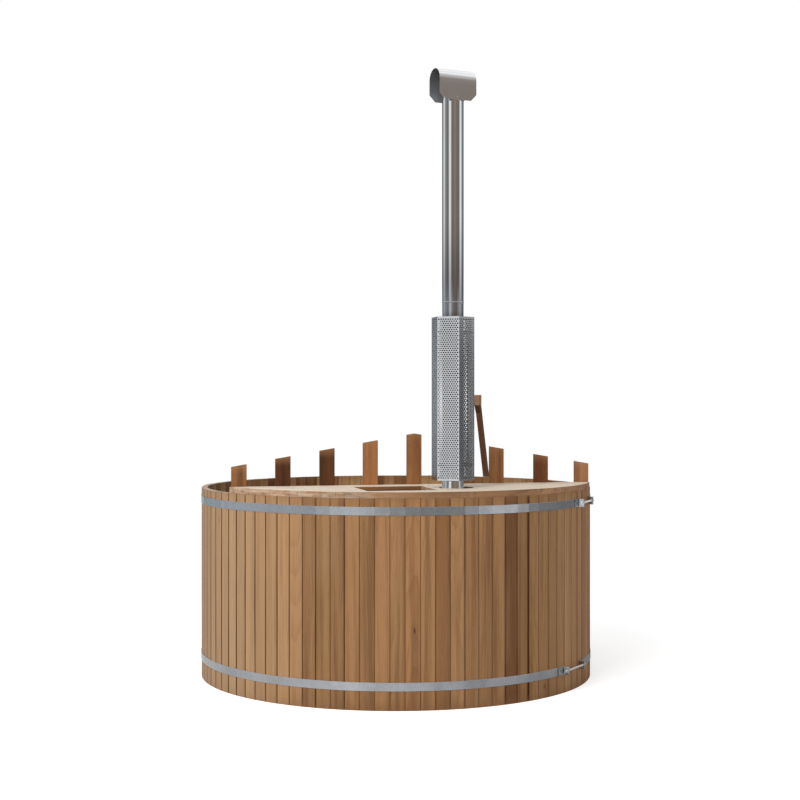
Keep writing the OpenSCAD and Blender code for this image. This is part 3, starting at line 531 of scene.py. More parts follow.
# ---------------------------------------------------------------- finishes


@dataclass(frozen=True)
class Finish:
    """What a piece is finished with: a material's name and the record's slot that it stands for."""

    name: str
    slot: str

    def material(self, effects: Effects) -> bpy.types.Material:
        """Builds the finish's material.

        Args:
            effects: The shared node groups.

        Returns:
            The new material.
        """
        made, graph = blank_material(self.name)
        self.fill(graph, effects)
        return made

    def fill(self, graph: Graph, effects: Effects) -> None:
        """Fills the material's graph, each kind of finish in its own way."""
        raise NotImplementedError


@dataclass(frozen=True)
class WoodFinish(Finish):
    """A wood: its colours, its figure and how boards of it differ."""

    early: Colour
    late: Colour
    deep: Colour
    end: Colour
    ring_pitch: float = 6.5 * MM
    rings: float = 0.45
    streaks: float = 0.5
    fibre: float = 0.35
    knots: float = 0.8
    gloss: float = 0.3
    wet: float = 0.0
    spread: float = 0.16
    joint: float = 0.7
    joint_colour: Colour = paint(58, 38, 26)
    splash: float = 0.6
    bloom: float = 0.25
    bleach: float = 0.0
    bloom_and_sheen_colour: Colour = paint(196, 172, 142)
    dust: float = 0.1
    patchy: float = 1.0
    creep: float = 0.0
    dust_and_light_colour: Colour = paint(226, 218, 204)
    relief: float = 0.35
    depth: float = 0.6 * MM

    def fill(self, graph: Graph, effects: Effects) -> None:
        """Builds the figure, the board's own marks with their painted shade, the weather with its painted
        sheen and the dust with its painted top light, one over the other.
        """
        point, grain = graph.point(), graph.attribute("grain")
        figure = graph.group(effects.figure, {
            "Grain": grain, "Early": self.early, "Late": self.late, "Deep": self.deep,
            "Ring Pitch": self.ring_pitch, "Rings": self.rings, "Streaks": self.streaks,
            "Fibre": self.fibre, "Knots": self.knots,
        })
        board = graph.group(effects.board, {
            "Color": figure.outputs["Color"], "Grain": grain, "Place": graph.attribute("place"),
            "Tone": graph.attribute("tone"), "End": graph.attribute("end", "Fac"), "Spread": self.spread,
            "Joint": self.joint, "Joint Color": self.joint_colour, "End Color": self.end, "Wet": self.wet,
        })
        edge = board.outputs["Edge"]
        weather_and_sheen = graph.group(effects.weather_and_sheen, {
            "Color": board.outputs["Color"], "Point": point, "Splash": self.splash, "Bloom": self.bloom,
            "Bleach": graph.math("MULTIPLY_ADD", edge, -self.bleach, self.bleach),
            "Bloom Color": self.bloom_and_sheen_colour,
        })
        dust = graph.group(effects.dust, {
            "Color": weather_and_sheen.outputs["Color"], "Point": point, "Amount": self.dust, "Patchy": self.patchy,
            "Creep": self.creep, "Dust Color": self.dust_and_light_colour,
        })
        rough = graph.math("MULTIPLY_ADD", edge, 0.2, figure.outputs["Roughness"], clamp=True)
        look = {"Base Color": dust.outputs["Color"], "Roughness": rough, "Specular IOR Level": self.gloss}
        graph.skin(look, figure.outputs["Height"], self.relief, self.depth)


@dataclass(frozen=True)
class MetalFinish(Finish):
    """A bare or plated metal: its colour, its drawn lines, spangle, stains, painted reflection and painted
    shade.
    """

    colour: Colour
    stain: Colour
    smooth: float
    rough: float
    drawn: Triple = (30.0, 30.0, 900.0)
    spangle: float = 0.0
    smudge: float = 0.4
    patches: float = 0.0
    heat: float = 0.0
    dust: float = 0.1
    dust_and_light_colour: Colour = paint(170, 165, 156)
    relief: float = 0.12
    depth: float = 0.4 * MM

    def fill(self, graph: Graph, effects: Effects) -> None:
        """Builds the bare metal with dust and painted top light on it."""
        point = graph.point()
        sheet = graph.group(effects.sheet, {
            "Color": self.colour, "Stain": self.stain, "Point": point, "Drawn": self.drawn,
            "Spangle": self.spangle, "Smudge": self.smudge, "Patches": self.patches, "Heat": self.heat,
            "Low Roughness": self.smooth, "High Roughness": self.rough,
        })
        dust = graph.group(effects.dust, {
            "Color": sheet.outputs["Color"], "Point": point, "Amount": self.dust, "Patchy": 1.0,
            "Dust Color": self.dust_and_light_colour,
        })
        rough = graph.math("MULTIPLY_ADD", dust.outputs["Mask"], 0.4, sheet.outputs["Roughness"], clamp=True)
        look = {"Base Color": dust.outputs["Color"], "Metallic": 1.0, "Roughness": rough}
        graph.skin(look, sheet.outputs["Height"], self.relief, self.depth)


@dataclass(frozen=True)
class PaintFinish(Finish):
    """A painted or heat-blackened skin over metal, rubbed through in places, with soot and painted shade
    above a height.
    """

    colour: Colour
    worn: Colour
    rough: float = 0.5
    wear: float = 0.4
    dust: float = 0.2
    dust_and_light_colour: Colour = paint(150, 142, 130)
    soot_and_shade: float = 0.0
    soot_and_shade_colour: Colour = paint(20, 20, 21)
    soot_and_shade_low: float = 2800 * MM
    soot_and_shade_high: float = 2940 * MM
    relief: float = 0.25
    depth: float = 0.4 * MM

    def fill(self, graph: Graph, effects: Effects) -> None:
        """Builds the skin, its rubbed places, the soot and painted shade that thicken upward, and the dust
        with its painted top light.
        """
        point = graph.point()
        cloud = graph.noise(point, 18.0, 5.0, 0.65)
        speck = graph.noise(point, 160.0, 4.0, 0.7)
        rubbed = graph.remap(graph.math("MULTIPLY_ADD", speck, 0.5, cloud), 0.74, 0.92)
        rubbed = graph.times(rubbed, self.wear)
        shade = graph.tinted(graph.remap(cloud, 0.3, 0.7), self.colour, Tint.SHADE)
        coat = graph.mix(rubbed, shade, self.worn)
        # Soot and painted shade: the coat darkens upward, as inside the cowl's arch.
        if self.soot_and_shade > 0.0:
            sooty_and_shaded = graph.remap(graph.split(point)[2], self.soot_and_shade_low, self.soot_and_shade_high)
            coat = graph.mix(graph.times(sooty_and_shaded, self.soot_and_shade), coat, self.soot_and_shade_colour)
        dust = graph.group(effects.dust, {
            "Color": coat, "Point": point, "Amount": self.dust, "Patchy": 1.0,
            "Dust Color": self.dust_and_light_colour,
        })
        rough = graph.math("MULTIPLY_ADD", speck, 0.25, self.rough - 0.1, clamp=True)
        metallic = graph.times(rubbed, 0.8)
        look = {"Base Color": dust.outputs["Color"], "Metallic": metallic, "Roughness": rough}
        graph.skin(look, speck, self.relief, self.depth)


class Finishes:
    """The finishes of the whole tub, each with its material made on first use."""

    STAVE = WoodFinish(
        "cedar_staves", "stave_wood",
        paint(162, 121, 80), paint(133, 90, 54), paint(98, 62, 36), paint(128, 92, 60),
        rings=0.5, streaks=0.6, spread=1.0, joint=0.9, joint_colour=paint(70, 31, 6),
        bloom=0.2, bleach=0.45, bloom_and_sheen_colour=paint(172, 145, 114), wet=0.8, splash=0.2, dust=0.8,
        dust_and_light_colour=paint(236, 218, 202),
    )
    SLAT = WoodFinish(
        "fence_slats", "slat_wood",
        paint(176, 122, 76), paint(138, 90, 54), paint(84, 54, 36), paint(170, 124, 84),
        streaks=0.6, spread=1.0, joint=0.25, splash=0.0, bloom=0.1,
    )
    COVER = WoodFinish(
        "cover_boards", "cover_wood",
        paint(160, 118, 80), paint(130, 89, 56), paint(96, 59, 35), paint(146, 104, 70),
        rings=0.6, streaks=0.8, spread=0.2, gloss=0.5, joint=0.3, joint_colour=paint(112, 78, 52),
        splash=0.0, bloom=0.2, bloom_and_sheen_colour=paint(206, 178, 148),
        # Dust and painted top light whiten the cover's top.
        dust=0.84, patchy=0.12, creep=0.38, dust_and_light_colour=paint(246, 231, 210),
    )
    INNER = WoodFinish(
        "inner_boards", "inner_wood",
        paint(160, 118, 80), paint(126, 86, 56), paint(92, 60, 38), paint(150, 112, 80),
        spread=0.5, joint=0.5, splash=0.2,
    )
    GRIP = WoodFinish(
        "grip_block", "grip_wood",
        paint(178, 142, 113), paint(152, 116, 89), paint(120, 88, 64), paint(182, 146, 117),
        splash=0.0, joint=0.1, bloom=0.05,
    )
    STEPS = WoodFinish(
        "dark_steps", "steps_wood",
        paint(106, 71, 48), paint(80, 52, 35), paint(54, 34, 23), paint(86, 58, 40),
        spread=0.12, joint=0.25, bloom=0.12, bloom_and_sheen_colour=paint(112, 84, 62),
    )
    BAND = MetalFinish(
        "galvanized_band", "galvanized_band", paint(182, 185, 190), paint(112, 112, 114), 0.22, 0.34,
        # Painted reflection: lighter and darker stretches along the hoops.
        drawn=(30.0, 30.0, 700.0), spangle=0.08, patches=0.06,
    )
    FASTENER = MetalFinish(
        "zinc_fasteners", "bright_fastener", paint(226, 228, 230), paint(130, 130, 130), 0.10, 0.22,
        smudge=0.3, spangle=0.05,
    )
    FLUE = MetalFinish(
        "polished_flue", "polished_flue", paint(221, 224, 226), paint(160, 152, 142), 0.04, 0.10,
        drawn=(60.0, 60.0, 4.0), smudge=0.2, heat=0.75, dust=0.0, relief=0.03,
    )
    SHEET = MetalFinish(
        "steel_sheet", "sheet_steel", paint(241, 241, 243), paint(186, 184, 182), 0.10, 0.20,
        drawn=(500.0, 500.0, 12.0), dust=0.05,
    )
    GUARD = MetalFinish(
        "guard_sheet", "sheet_steel", paint(202, 204, 208), paint(140, 138, 134), 0.12, 0.22,
        drawn=(500.0, 500.0, 12.0), smudge=0.3, dust=0.0,
    )
    SMOKED_AND_SHADED = PaintFinish(
        "smoked_and_shaded_inside", "sheet_steel", paint(130, 131, 133), paint(150, 150, 150),
        wear=0.1, dust=0.0, soot_and_shade=0.55,
    )
    # Painted shade: near black for faces inside the guard.
    GUARD_INSIDE_SHADE = PaintFinish(
        "guard_inside_shade", "sheet_steel", paint(30, 30, 32), paint(70, 66, 62), rough=0.8, wear=0.1, dust=0.0,
    )
    DARK = PaintFinish(
        "blackened_steel", "dark_steel", paint(44, 42, 41), paint(120, 92, 72), rough=0.55, wear=0.35,
    )
    STOVE = MetalFinish(
        "stove_sheet", "stove_aluminium", paint(176, 178, 180), paint(104, 98, 90), 0.36, 0.6,
        drawn=(60.0, 700.0, 60.0), smudge=0.8, dust=0.3,
    )
    BRASS = MetalFinish(
        "cast_brass", "brass", paint(196, 164, 104), paint(112, 84, 48), 0.3, 0.5,
        drawn=(90.0, 90.0, 90.0), smudge=0.7,
    )
    LEVER = PaintFinish(
        "dipped_lever", "lever_paint", paint(158, 30, 24), paint(150, 140, 130),
        rough=0.4, wear=0.25, dust=0.1,
    )

    def __init__(self) -> None:
        """Builds the shared groups and an empty store of materials."""
        self.effects = Effects()
        self.made: dict[str, bpy.types.Material] = {}

    def material(self, finish: Finish) -> bpy.types.Material:
        """Gives a finish's material, made on first use."""
        if finish.name not in self.made:
            self.made[finish.name] = finish.material(self.effects)
        return self.made[finish.name]

    def dress(self, piece: bpy.types.Object, finish: Finish) -> None:
        """Gives a piece one finish.

        Args:
            piece: The mesh object.
            finish: The finish to put on it.
        """
        piece.data.materials.clear()
        piece.data.materials.append(self.material(finish))

    def second(self, piece: bpy.types.Object, finish: Finish, chosen: Callable[[Any], bool]) -> None:
        """Gives some faces of a dressed piece another finish.

        Args:
            piece: The mesh object.
            finish: The other finish.
            chosen: Says of a face whether it takes it.
        """
        piece.data.materials.append(self.material(finish))
        for face in piece.data.polygons:
            if chosen(face):
                face.material_index = 1


# ---------------------------------------------------------------- meshes


class Lay(Enum):
    """How a board lies: which way its grain runs and which way it is thin."""

    STAVE = "upright in the round wall"
    UPRIGHT = "upright across the tub"
    LEVEL_X = "level, along the fence"
    LEVEL_Y = "level, from back to front"
    ROUND = "level, along the wall"
    PROP = "upright, edge on to the wall"
    LEAN = "leaning on the rim"

    def axes(self, centre: Vector, lean: tuple[float, float]) -> tuple[Vector, Vector, Vector]:
        """Gives the board's own axes.

        Args:
            centre: The board's middle.
            lean: Angle from +X and tilt from upright of what leans on the rim, in degrees.

        Returns:
            Unit vectors across the board, through it and along its grain.
        """
        out = Vector((centre.x, centre.y, 0.0)).normalized()
        if self in (Lay.STAVE, Lay.PROP, Lay.ROUND):
            side = UP.cross(out)
            return {Lay.STAVE: (side, out, UP), Lay.PROP: (out, side, UP), Lay.ROUND: (out, UP, side)}[self]
        if self is Lay.LEAN:
            out = polar(1.0, lean[0])
            rise = (UP - out * math.tan(math.radians(lean[1]))).normalized()
            side = UP.cross(out)
            return (side, side.cross(rise), rise)
        x, y = Vector((1.0, 0.0, 0.0)), Vector((0.0, 1.0, 0.0))
        return {Lay.UPRIGHT: (x, y, UP), Lay.LEVEL_X: (y, UP, x), Lay.LEVEL_Y: (x, UP, y)}[self]


ToneRule = Callable[[Vector, random.Random], Triple]


def any_tone(_: Vector, draw: random.Random) -> Triple:
    """Gives a board a tone of its own by chance."""
    return (draw.uniform(-1.0, 1.0), draw.uniform(-1.0, 1.0), draw.uniform(-0.5, 0.5))


def quads(rows: int, count: int, rows_close: bool = True, columns_close: bool = True) -> Faces:
    """Gives the faces between rows of points.

    Args:
        rows: How many rows there are.
        count: How many points each has.
        rows_close: Whether the last row joins the first.
        columns_close: Whether each row's last point joins its first.

    Returns:
        The faces, as vertex numbers.
    """
    return [
        (i * count + j, (i + 1) % rows * count + j,
         (i + 1) % rows * count + (j + 1) % count, i * count + (j + 1) % count)
        for i in range(rows if rows_close else rows - 1)
        for j in range(count if columns_close else count - 1)
    ]


def shifted(faces: Iterable[Sequence[int]], base: int) -> Faces:
    """Gives faces whose vertex numbers start further on."""
    return [tuple(base + i for i in face) for face in faces]


class Workshop:
    """Makes pieces and sets them on the frame."""

    def __init__(self, finishes: Finishes) -> None:
        """Keeps the finishes that the pieces get."""
        self.finishes = finishes
        self.body_of = {
            node: body for body, nodes in frame["record"]["behaviour"]["bodies"].items() for node in nodes
        }

    def place(self, piece: bpy.types.Object, finish: Finish, node: str) -> bpy.types.Object:
        """Dresses a piece, lets it stand for its CAD node and lets it ride with it.

        Args:
            piece: The new piece, already in place.
            finish: Its finish.
            node: The CAD node that it stands for.

        Returns:
            The same piece.
        """
        self.finishes.dress(piece, finish)
        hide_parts(node)
        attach(piece, self.body_of[node])
        LOG.info("%s: %d faces, for %s", piece.name, len(piece.data.polygons), node)
        return piece

    def keep(self, node: str, finish: Finish) -> None:
        """Shows a CAD node as it is, with a finish."""
        self.finishes.dress(frame["nodes"][node], finish)
        LOG.info("%s: kept, with %s", node, finish.name)

    @staticmethod
    def piece(name: str, points: Iterable[Sequence[float]], faces: Iterable[Sequence[int]],
              crease: float = 25.0, weld: float = 0.0) -> bpy.types.Object:
        """Makes a mesh object with even normals and smooth faces between creases.

        Args:
            name: The piece's name.
            points: Its vertices.
            faces: Its faces, as vertex numbers.
            crease: The angle in degrees above which an edge stays sharp; 0 keeps every face flat.
            weld: How close points are joined, if at all.

        Returns:
            The linked object.
        """
        mesh = bpy.data.meshes.new(name)
        mesh.from_pydata([tuple(p) for p in points], [], [tuple(f) for f in faces])
        Workshop.settle(mesh, crease, weld)
        return linked(name, mesh)

    @staticmethod
    def settle(mesh: bpy.types.Mesh, crease: float, weld: float = 0.0) -> None:
        """Points all normals outward and shades a mesh smooth up to a crease.

        Args:
            mesh: The mesh.
            crease: The angle in degrees above which an edge stays sharp; 0 keeps every face flat.
            weld: How close points are joined, if at all.
        """
        work = bmesh.new()
        work.from_mesh(mesh)
        if weld > 0.0:
            bmesh.ops.remove_doubles(work, verts=work.verts, dist=weld)
        bmesh.ops.recalc_face_normals(work, faces=work.faces)
        work.to_mesh(mesh)
        work.free()
        mesh.polygons.foreach_set("use_smooth", [crease > 0] * len(mesh.polygons))
        if crease > 0:
            mesh.set_sharp_from_angle(angle=math.radians(crease))
        mesh.update()

    @staticmethod
    def eased(node: str, name: str, ease: float, bend: float, shortest: float,
              crease: float) -> bpy.types.Object:
        """Copies a CAD node and rounds its sharp edges.

        Args:
            node: The CAD node.
            name: The copy's name.
            ease: How far the edges are rounded.
            bend: The angle in degrees above which an edge is rounded.
            shortest: Edges shorter than this stay as they are.
            crease: The angle in degrees above which an edge of the copy stays sharp.

        Returns:
            The copy.
        """
        work = bmesh.new()
        work.from_mesh(frame["nodes"][node].data)
        bmesh.ops.remove_doubles(work, verts=work.verts, dist=WELD)
        bmesh.ops.dissolve_limit(work, angle_limit=math.radians(1.0), verts=work.verts, edges=work.edges)
        least = math.radians(bend)
        sharp = [
            edge for edge in work.edges
            if edge.is_manifold and edge.calc_face_angle(0.0) > least and edge.calc_length() > shortest
        ]
        bmesh.ops.bevel(
            work, geom=sharp, offset=ease, segments=2, profile=0.6, affect="EDGES", clamp_overlap=True
        )
        mesh = bpy.data.meshes.new(name)
        work.to_mesh(mesh)
        work.free()
        Workshop.settle(mesh, crease)
        return linked(name, mesh)


@dataclass
class Boards:
    """Wooden pieces taken from the CAD nodes, with eased edges and a grain for each board."""

    shop: Workshop
    lean: tuple[float, float] = (55.4, 20.0)
    seed: int = 20
    bend: float = 28.0
    crease: float = 20.0
    pith: tuple[float, float] = (50 * MM, 240 * MM)
    slide: float = 9.0
    end_from: float = 0.5
    end_full: float = 0.9

    def dress(self, node: str, finish: WoodFinish, lay: Lay, ease: float = 1.2 * MM,
              tone: ToneRule = any_tone, shortest: float = 4 * MM) -> bpy.types.Object:
        """Makes the boards of one CAD node.

        Args:
            node: The CAD node.
            finish: The wood.
            lay: How its boards lie.
            ease: How far their edges are rounded.
            tone: Gives each board its tone from its middle.
            shortest: Edges shorter than this stay sharp.

        Returns:
            The new piece.
        """
        made = self.shop.eased(node, node + "_wood", ease, self.bend, shortest, self.crease)
        self.mark(made.data, node, lay, tone)
        return self.shop.place(made, finish, node)

    def mark(self, mesh: bpy.types.Mesh, node: str, lay: Lay, tone: ToneRule) -> None:
        """Writes each board's grain, place, tone and end faces as attributes.

        Args:
            mesh: The mesh of all the boards of a node.
            node: The node's name, which seeds the chance.
            lay: How the boards lie.
            tone: Gives each board its tone.
        """
        draw = random.Random(f"{self.seed}{node}")
        grain, place, tones = (
            mesh.attributes.new(name, "FLOAT_VECTOR", "POINT") for name in ("grain", "place", "tone")
        )
        ends = mesh.attributes.new("end", "FLOAT", "FACE")
        along_of: dict[int, Vector] = {}
        for board in self.islands(mesh):
            points = [mesh.vertices[i].co for i in board]
            low = Vector([min(p[i] for p in points) for i in range(3)])
            high = Vector([max(p[i] for p in points) for i in range(3)])
            centre = (low + high) / 2
            axes = lay.axes(centre, self.lean)
            spans = [[p.dot(axis) for p in points] for axis in axes]
            middle = [(max(span) + min(span)) / 2 for span in spans]
            half = [max((max(span) - min(span)) / 2, MM) for span in spans]
            turn = draw.uniform(0.0, math.tau)
            far = draw.uniform(*self.pith)
            shift = (far * math.cos(turn), far * math.sin(turn), draw.uniform(-self.slide, self.slide))
            own = tone(centre, draw)
            for row, i in enumerate(board):
                local = [spans[a][row] - middle[a] for a in range(3)]
                grain.data[i].vector = [local[a] + shift[a] for a in range(3)]
                place.data[i].vector = [local[a] / half[a] for a in range(3)]
                tones.data[i].vector = own
                along_of[i] = axes[2]
        for face in mesh.polygons:
            run = abs(face.normal.dot(along_of[face.vertices[0]]))
            share = (run - self.end_from) / (self.end_full - self.end_from)
            ends.data[face.index].value = max(0.0, min(1.0, share))

    @staticmethod
    def islands(mesh: bpy.types.Mesh) -> list[list[int]]:
        """Finds the loose parts of a mesh.

        Args:
            mesh: The mesh.

        Returns:
            The vertex numbers of each part.
        """
        parent = list(range(len(mesh.vertices)))

        def root(i: int) -> int:
            """Follows a vertex to the one that stands for its part."""
            while parent[i] != i:
                parent[i] = parent[parent[i]]
                i = parent[i]
            return i

        for edge in mesh.edges:
            one, other = root(edge.vertices[0]), root(edge.vertices[1])
            parent[one] = other
        parts: dict[int, list[int]] = {}
        for i in range(len(parent)):
            parts.setdefault(root(i), []).append(i)
        return list(parts.values())


@dataclass
class MetalCopies:
    """Metal pieces taken from the CAD nodes, with eased edges."""

    shop: Workshop
    bend: float = 60.0
    crease: float = 32.0
    shortest: float = 2.5

    def ease(self, ease: float, finish: Finish, *nodes: str) -> None:
        """Copies nodes and rounds their sharp edges.

        Args:
            ease: How far the edges are rounded; those shorter than `shortest` times this stay sharp.
            finish: The finish of the copies.
            nodes: The CAD nodes.
        """
        for node in nodes:
            made = self.shop.eased(node, node + "_metal", ease, self.bend, self.shortest * ease, self.crease)
            self.shop.place(made, finish, node)


# ---------------------------------------------------------------- sub-assemblies


@dataclass
class StaveWall:
    """The round wall of 91 staves, some with the tones that stand out on the real one."""

    boards: Boards
    groups: int = 13
    ease: float = 0.7 * MM
    shortest: float = 1.2 * MM
    scatter: tuple[tuple[float, float], ...] = ((-0.02, 0.15), (0.0, 0.45), (0.0, 0.45))
    limit: float = 1.2
    # The third value sets how far a stave's joint edge darkens; it is high on staves 66 to 76, partly as
    # painted shade in their grooves.
    named: dict[int, Triple] = field(default_factory=lambda: {
        28: (0.6, -0.5, 0.3), 29: (0.4, -0.3, 0.3), 30: (0.7, -0.6, 0.3), 31: (0.5, -0.4, 0.4),
        32: (0.2, 0.3, 0.3), 37: (0.4, -0.5, 0.3), 38: (0.6, -0.6, 0.4), 39: (0.5, -0.3, 0.2),
        40: (0.6, -0.4, 0.3), 41: (0.1, 0.3, 0.4), 42: (0.4, -0.2, 0.3), 43: (-0.1, 0.6, 0.5),
        44: (0.5, -0.3, 0.3), 45: (0.6, -0.5, 0.4), 46: (0.5, -0.2, 0.3), 47: (0.1, 0.3, 0.5),
        48: (0.3, -0.1, 0.3), 49: (-0.2, 0.7, 0.5), 50: (-0.3, 0.8, 0.4), 51: (0.2, 0.2, 0.5),
        52: (0.3, -0.3, 0.3), 53: (-0.4, 0.8, 0.5), 57: (-0.3, 0.6, 0.3), 58: (0.5, -0.3, 0.4),
        59: (-0.6, 0.8, 0.3), 60: (0.6, -0.5, 0.3), 61: (-0.5, 0.7, 0.4), 62: (0.6, -0.3, 0.2),
        63: (-0.6, 0.7, 0.3), 64: (0.5, -0.2, 0.3), 65: (0.0, 0.5, 0.5), 66: (0.15, 0.0, 1.1),
        67: (0.3, 0.1, 1.0), 68: (0.1, -0.1, 1.1), 69: (0.35, -0.1, 1.0), 70: (0.05, 0.1, 1.1),
        71: (0.3, -0.2, 1.0), 72: (0.15, 0.1, 1.1), 73: (0.2, -0.1, 1.0), 74: (0.35, 0.0, 1.1),
        75: (0.15, -0.1, 0.9), 76: (0.4, -0.2, 0.9), 77: (0.15, -0.2, 0.9), 78: (0.18, -0.2, 0.8),
        79: (0.32, -0.2, 0.7), 80: (0.1, 0.1, 0.5), 81: (-0.3, 0.2, 1.0), 82: (-0.15, -0.6, 0.0),
        83: (-0.3, -0.2, 0.8), 84: (0.0, 0.0, 0.3), 85: (-0.2, -0.2, 0.2), 86: (0.05, 0.3, 0.0),
        87: (-0.05, -0.3, 0.3), 88: (0.05, 0.5, 0.0), 89: (0.05, 0.1, 0.3), 90: (-0.45, 0.5, 0.5),
        0: (0.05, 0.0, 0.5), 1: (-0.1, 0.2, -0.6), 2: (-0.15, 0.3, 0.3), 3: (0.0, 0.3, 0.4),
        4: (-1.05, 0.9, -0.8), 5: (-0.35, 0.0, 1.35), 6: (0.0, -0.6, -1.3), 7: (-0.1, -0.3, 0.3),
        8: (-0.1, -0.4, 0.4), 9: (0.1, 0.2, 0.4), 10: (0.3, 0.1, 0.3), 11: (0.1, 0.0, 0.2),
    })

    def tone(self, centre: Vector, draw: random.Random) -> Triple:
        """Gives a stave its tone.

        Args:
            centre: The stave's middle.
            draw: The chance that the staves without a tone of their own take.

        Returns:
            Lightness in stops, redness and how stained its joints are.
        """
        angle = math.degrees(math.atan2(centre.y, centre.x))
        number = round(((angle - FIRST_JOINT) % 360.0) / STAVE_STEP - 0.5)
        chance = tuple(max(-self.limit, min(self.limit, draw.gauss(*own))) for own in self.scatter)
        return self.named.get(number, chance)

    def build(self) -> None:
        """Makes the thirteen groups of seven staves."""
        for group in range(1, self.groups + 1):
            node = f"staves_{group:02d}"
            self.boards.dress(node, Finishes.STAVE, Lay.STAVE, self.ease, self.tone, self.shortest)


@dataclass
class FloorAndBench:
    """The floor, its joists, the bench and its legs."""

    boards: Boards

    def build(self) -> None:
        """Makes the boards inside the tub."""
        for node, lay, ease in (
            ("floor_boards", Lay.LEVEL_X, 1.0 * MM), ("floor_joists", Lay.LEVEL_Y, 2.0 * MM),
            ("bench_boards", Lay.ROUND, 3.0 * MM), ("bench_legs", Lay.PROP, 2.0 * MM),
        ):
            self.boards.dress(node, Finishes.INNER, lay, ease)


@dataclass
class Hoops:
    """Two flat hoops, each closed by two lugs, a threaded rod and four nuts."""

    shop: Workshop
    metal: MetalCopies
    radius: float = 1000.3 * MM
    thick: float = 2 * MM
    height: float = 39 * MM
    edge: float = 0.6 * MM
    nearest: float = 0.2
    lug_gap: float = 170 * MM
    lug_thick: float = 6 * MM
    rod_radius: float = 5 * MM
    rod_end: float = 24 * MM
    rod_place: float = 1017.15 * MM
    rod_flats: int = 20
    thread: float = 1.5 * MM
    thread_depth: float = 0.55 * MM
    taper: float = 1.2 * MM
    nut: float = 9.5 * MM
    nut_height: float = 8 * MM
    nut_play: float = 0.1 * MM
    washer: float = 1.6 * MM
    places: dict[str, tuple[float, float]] = field(default_factory=lambda: {
        "bottom": (89 * MM, -45.2), "top": (880 * MM, -35.5),
    })

    def band(self, name: str, low: float, middle: float) -> None:
        """Makes a hoop that lies flat on each stave and bends at the joints.

        Args:
            name: The CAD node.
            low: Height of its lower edge.
            middle: Angle of the middle of its gap.
        """
        gap = math.degrees(math.asin(self.lug_gap / 2 / self.radius))
        start, stop = middle + gap, middle + 360.0 - gap
        first = math.ceil((start - FIRST_JOINT) / STAVE_STEP)
        joints = [FIRST_JOINT + k * STAVE_STEP for k in range(first, first + STAVE_COUNT + 1)]
        bends = [turn for turn in joints if start + self.nearest < turn < stop - self.nearest]
        turns = [start, *bends, stop]
        inner, outer, top = self.radius, self.radius + self.thick, low + self.height
        profile = [
            (inner, low), (outer - self.edge, low), (outer, low + self.edge), (outer, top - self.edge),
            (outer - self.edge, top), (inner, top),
        ]
        count, rows = len(profile), len(turns)
        points = [polar(r, turn, z) for turn in turns for r, z in profile]
        faces = quads(rows, count, rows_close=False)
        faces += [tuple(range(count)), tuple((rows - 1) * count + j for j in range(count))]
        self.shop.place(Workshop.piece(name + "_band", points, faces, 0.0), Finishes.BAND, name)

    def lathe(self, profile: Sequence[tuple[float, float]], low: float, middle: float,
              steps: int) -> tuple[list[Vector], Faces]:
        """Turns a profile round the rod's axis, which lies along the hoop at its clamp.

        Args:
            profile: Radii and places along the rod.
            low: Height of the hoop's lower edge.
            middle: Angle of the clamp.
            steps: Flats round the rod.

        Returns:
            Vertices and the faces between them, without the ends.
        """
        out = polar(1.0, middle)
        side = Vector((-out.y, out.x, 0.0))
        axis = out * self.rod_place + UP * (low + self.height / 2)
        points: list[Vector] = []
        for i in range(steps):
            turn = math.tau * i / steps
            ray = out * math.cos(turn) + UP * math.sin(turn)
            points += [axis + ray * r + side * s for r, s in profile]
        return points, quads(steps, len(profile), columns_close=False)

    def rod(self, name: str, low: float, middle: float) -> None:
        """Makes a rod with the grooves of its thread and tapered tips.

        Args:
            name: The CAD node.
            low: Height of the hoop's lower edge.
            middle: Angle of the clamp.
        """
        half = self.lug_gap / 2 + self.lug_thick + self.rod_end
        tip, groove = self.rod_radius - self.taper, self.rod_radius - self.thread_depth
        profile = [(tip, -half), (groove, -half + MM)]
        for i in range(int((2 * half - 3 * MM) / self.thread)):
            start = -half + self.taper + i * self.thread
            profile += [(groove, start), (self.rod_radius, start + self.thread / 2)]
        profile += [(groove, half - MM), (tip, half)]
        points, faces = self.lathe(profile, low, middle, self.rod_flats)
        count = len(profile)
        faces += [tuple(i * count + j for i in range(self.rod_flats)) for j in (0, count - 1)]
        self.shop.place(Workshop.piece(name + "_thread", points, faces, 35.0), Finishes.FASTENER, name)

    def nuts(self) -> None:
        """Makes the four nuts outside the lugs, each on its washer."""
        hole = self.rod_radius + self.nut_play
        foot = self.lug_gap / 2 + self.lug_thick
        seat, top = foot + self.washer, foot + self.nut_height
        wide, narrow = self.nut * 1.08, self.nut * 0.9
        rings = {
            24: [(hole, foot), (wide, foot), (wide, seat), (hole, seat)],
            6: [
                (hole, seat), (narrow, seat), (self.nut, seat + MM),
                (self.nut, top - MM), (narrow, top), (hole, top),
            ],
        }
        points: list[Vector] = []
        faces: Faces = []
        for low, middle in self.places.values():
            for side in (-1, 1):
                for steps, profile in rings.items():
                    loop = [(r, side * s) for r, s in profile]
                    own, own_faces = self.lathe([*loop, loop[0]], low, middle, steps)
                    faces += shifted(own_faces, len(points))
                    points += own
        piece = Workshop.piece("clamp_nuts_hex", points, faces, 30.0, WELD)
        self.shop.place(piece, Finishes.FASTENER, "clamp_nuts")

    def build(self) -> None:
        """Makes both hoops and their clamps."""
        for where, (low, middle) in self.places.items():
            self.band(f"hoop_{where}", low, middle)
            self.rod(f"clamp_rod_{where}", low, middle)
            self.metal.ease(self.edge, Finishes.BAND, f"clamp_lugs_{where}")
        self.nuts()


